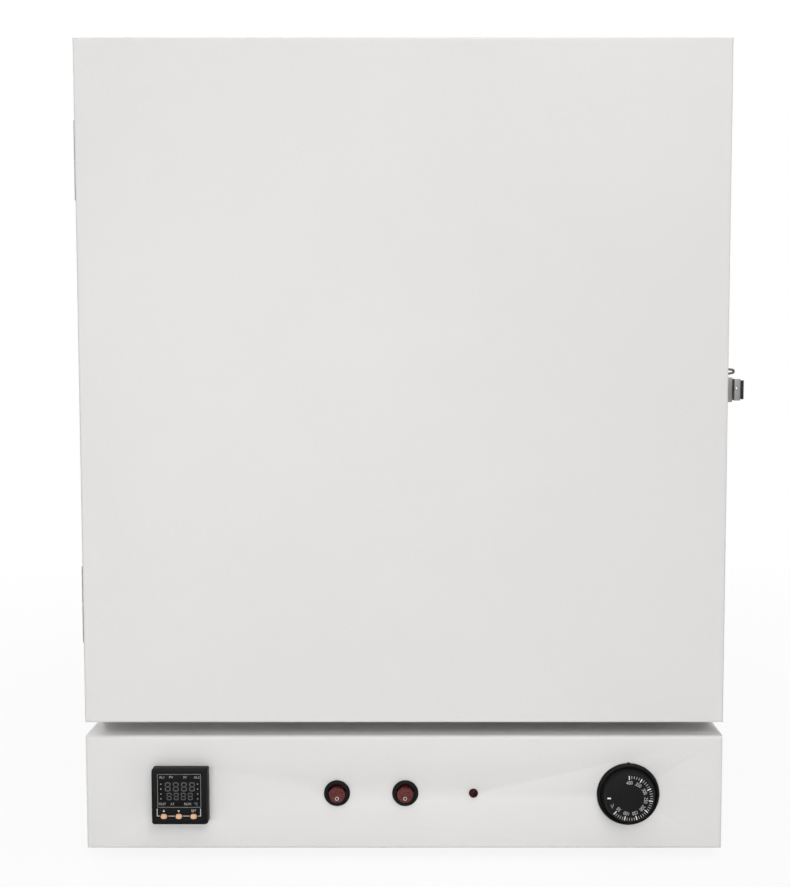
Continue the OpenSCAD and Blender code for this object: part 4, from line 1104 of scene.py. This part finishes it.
class STERILIZER_OT_stage(bpy.types.Operator):
    """Sets the pale floor, the soft lamps, the room light and the camera"""

    bl_idname = "sterilizer.stage"
    bl_label = "Stage"

    def execute(self, context):
        size = context.scene.sterilizer_size
        scene = context.scene
        scene.view_settings.view_transform = "Standard"
        deselect()
        bpy.ops.mesh.primitive_circle_add(
            vertices=96, radius=9, fill_type="NGON", location=(0, 0, CAD_BOX[0].z - 0.0005))
        floor = settle("studio_floor")
        floor.data.materials.append(self.floor_material())
        world = bpy.data.worlds.new("studio")
        scene.world = world
        world.use_nodes = True
        self.room(world.node_tree, size.world_light)
        lamps = (
            ("lamp_key", (1.4, -4.4, 4.1), 3.0, 110),
            ("lamp_fill", (-0.5, -2.5, -0.1), 1.4, 37),
            ("lamp_above", (0.2, -0.6, 3.4), 2.4, 48),
            ("lamp_behind", (-1.8, 3.0, 1.8), 2.2, 36),
        )
        aim = Vector((0, 0, 0.38))
        for name, place, wide, power in lamps:
            deselect()
            bpy.ops.object.light_add(type="AREA", location=place)
            lamp = bpy.context.object
            lamp.name = name
            lamp.data.shape = "SQUARE"
            lamp.data.size = wide
            lamp.data.energy = power * size.lamp_light
            lamp.rotation_euler = (aim - Vector(place)).to_track_quat("-Z", "Y").to_euler()
        deselect()
        down = math.radians(3.74)
        bpy.ops.object.camera_add(
            location=(0.0245, -1.332, 0.436), rotation=(math.pi / 2 - down, 0, 0))
        camera = bpy.context.object
        camera.name = "studio_camera"
        camera.data.sensor_fit = "HORIZONTAL"
        camera.data.sensor_width = 36
        camera.data.lens = size.lens_length
        camera.data.shift_x = -0.0468
        camera.data.shift_y = 0.001
        camera.data.clip_start = 0.01
        scene.camera = camera
        return {"FINISHED"}

    @staticmethod
    def floor_material():
        """Pale floor that the camera sees as a white sweep with the object's soft shadow on it"""
        material, tree, shader = shader_of("studio_floor", (0.86, 0.86, 0.855, 1), 0.7)
        rough(tree, shader, noise(tree, 30, 3), 0.66, 0.74)
        white = added(tree, "Emission", {"Color": WHITE, "Strength": 1.0})
        path = added(tree, "LightPath")
        reach = added(tree, "VectorMath", a0=object_place(tree))
        reach.operation = "LENGTH"
        fade = spread(tree, reach.outputs["Value"], 0.9, 1.0, 0.45, 1.6)
        seen = mathed(tree, "MAXIMUM", path.outputs["Is Camera Ray"],
                      path.outputs["Is Transmission Ray"])
        mix = added(tree, "MixShader", Fac=mathed(tree, "MULTIPLY", seen, fade),
                    a1=shader.outputs["BSDF"], a2=white.outputs["Emission"])
        tree.links.new(mix.outputs["Shader"], tree.nodes["Material Output"].inputs["Surface"])
        return material

    @staticmethod
    def room(tree, strength):
        """Plain light from all round, and white where the camera, gloss or glass sees it"""
        tree.nodes.clear()
        light = added(tree, "Background", {"Color": WHITE, "Strength": strength})
        white = added(tree, "Background", {"Color": WHITE, "Strength": 1.0})
        path = added(tree, "LightPath")
        seen = mathed(tree, "MAXIMUM", path.outputs["Is Camera Ray"], path.outputs["Is Glossy Ray"])
        seen = mathed(tree, "MAXIMUM", seen, path.outputs["Is Transmission Ray"])
        mix = added(tree, "MixShader", Fac=seen, a1=light.outputs["Background"],
                    a2=white.outputs["Background"])
        added(tree, "OutputWorld", Surface=mix.outputs["Shader"])


OPERATORS = (
    STERILIZER_OT_casing,
    STERILIZER_OT_feet,
    STERILIZER_OT_controller,
    STERILIZER_OT_switches,
    STERILIZER_OT_dial,
    STERILIZER_OT_door,
    STERILIZER_OT_hinges,
    STERILIZER_OT_latch,
    STERILIZER_OT_chamber,
    STERILIZER_OT_heater,
    STERILIZER_OT_exhaust,
    STERILIZER_OT_electrics,
    STERILIZER_OT_screws,
    STERILIZER_OT_stage,
)


class STERILIZER_PT_panel(bpy.types.Panel):
    """Lists the sterilizer's pieces and sizes"""

    bl_idname = "STERILIZER_PT_panel"
    bl_label = "Dry heat sterilizer"
    bl_space_type = "VIEW_3D"
    bl_region_type = "UI"
    bl_category = "Sterilizer"

    def draw(self, context):
        for group in (context.scene.sterilizer_finish, context.scene.sterilizer_size):
            column = self.layout.column()
            for name in group.bl_rna.properties.keys():
                if name not in ("rna_type", "name"):
                    column.prop(group, name)
        column = self.layout.column()
        for operator in OPERATORS:
            column.operator(operator.bl_idname)


def register():
    for kind in (SterilizerFinish, SterilizerSizes, *OPERATORS, STERILIZER_PT_panel):
        bpy.utils.register_class(kind)
    bpy.types.Scene.sterilizer_finish = bpy.props.PointerProperty(type=SterilizerFinish)
    bpy.types.Scene.sterilizer_size = bpy.props.PointerProperty(type=SterilizerSizes)


def unregister():
    del bpy.types.Scene.sterilizer_size
    del bpy.types.Scene.sterilizer_finish
    for kind in (STERILIZER_PT_panel, *reversed(OPERATORS), SterilizerSizes, SterilizerFinish):
        bpy.utils.unregister_class(kind)


def main():
    """Makes every piece and the stage"""
    register()
    for operator in OPERATORS:
        group, name = operator.bl_idname.split(".")
        if getattr(getattr(bpy.ops, group), name)() != {"FINISHED"}:
            raise RuntimeError(f"{operator.bl_label} wasn't finished")


if __name__ == "__main__":
    main()
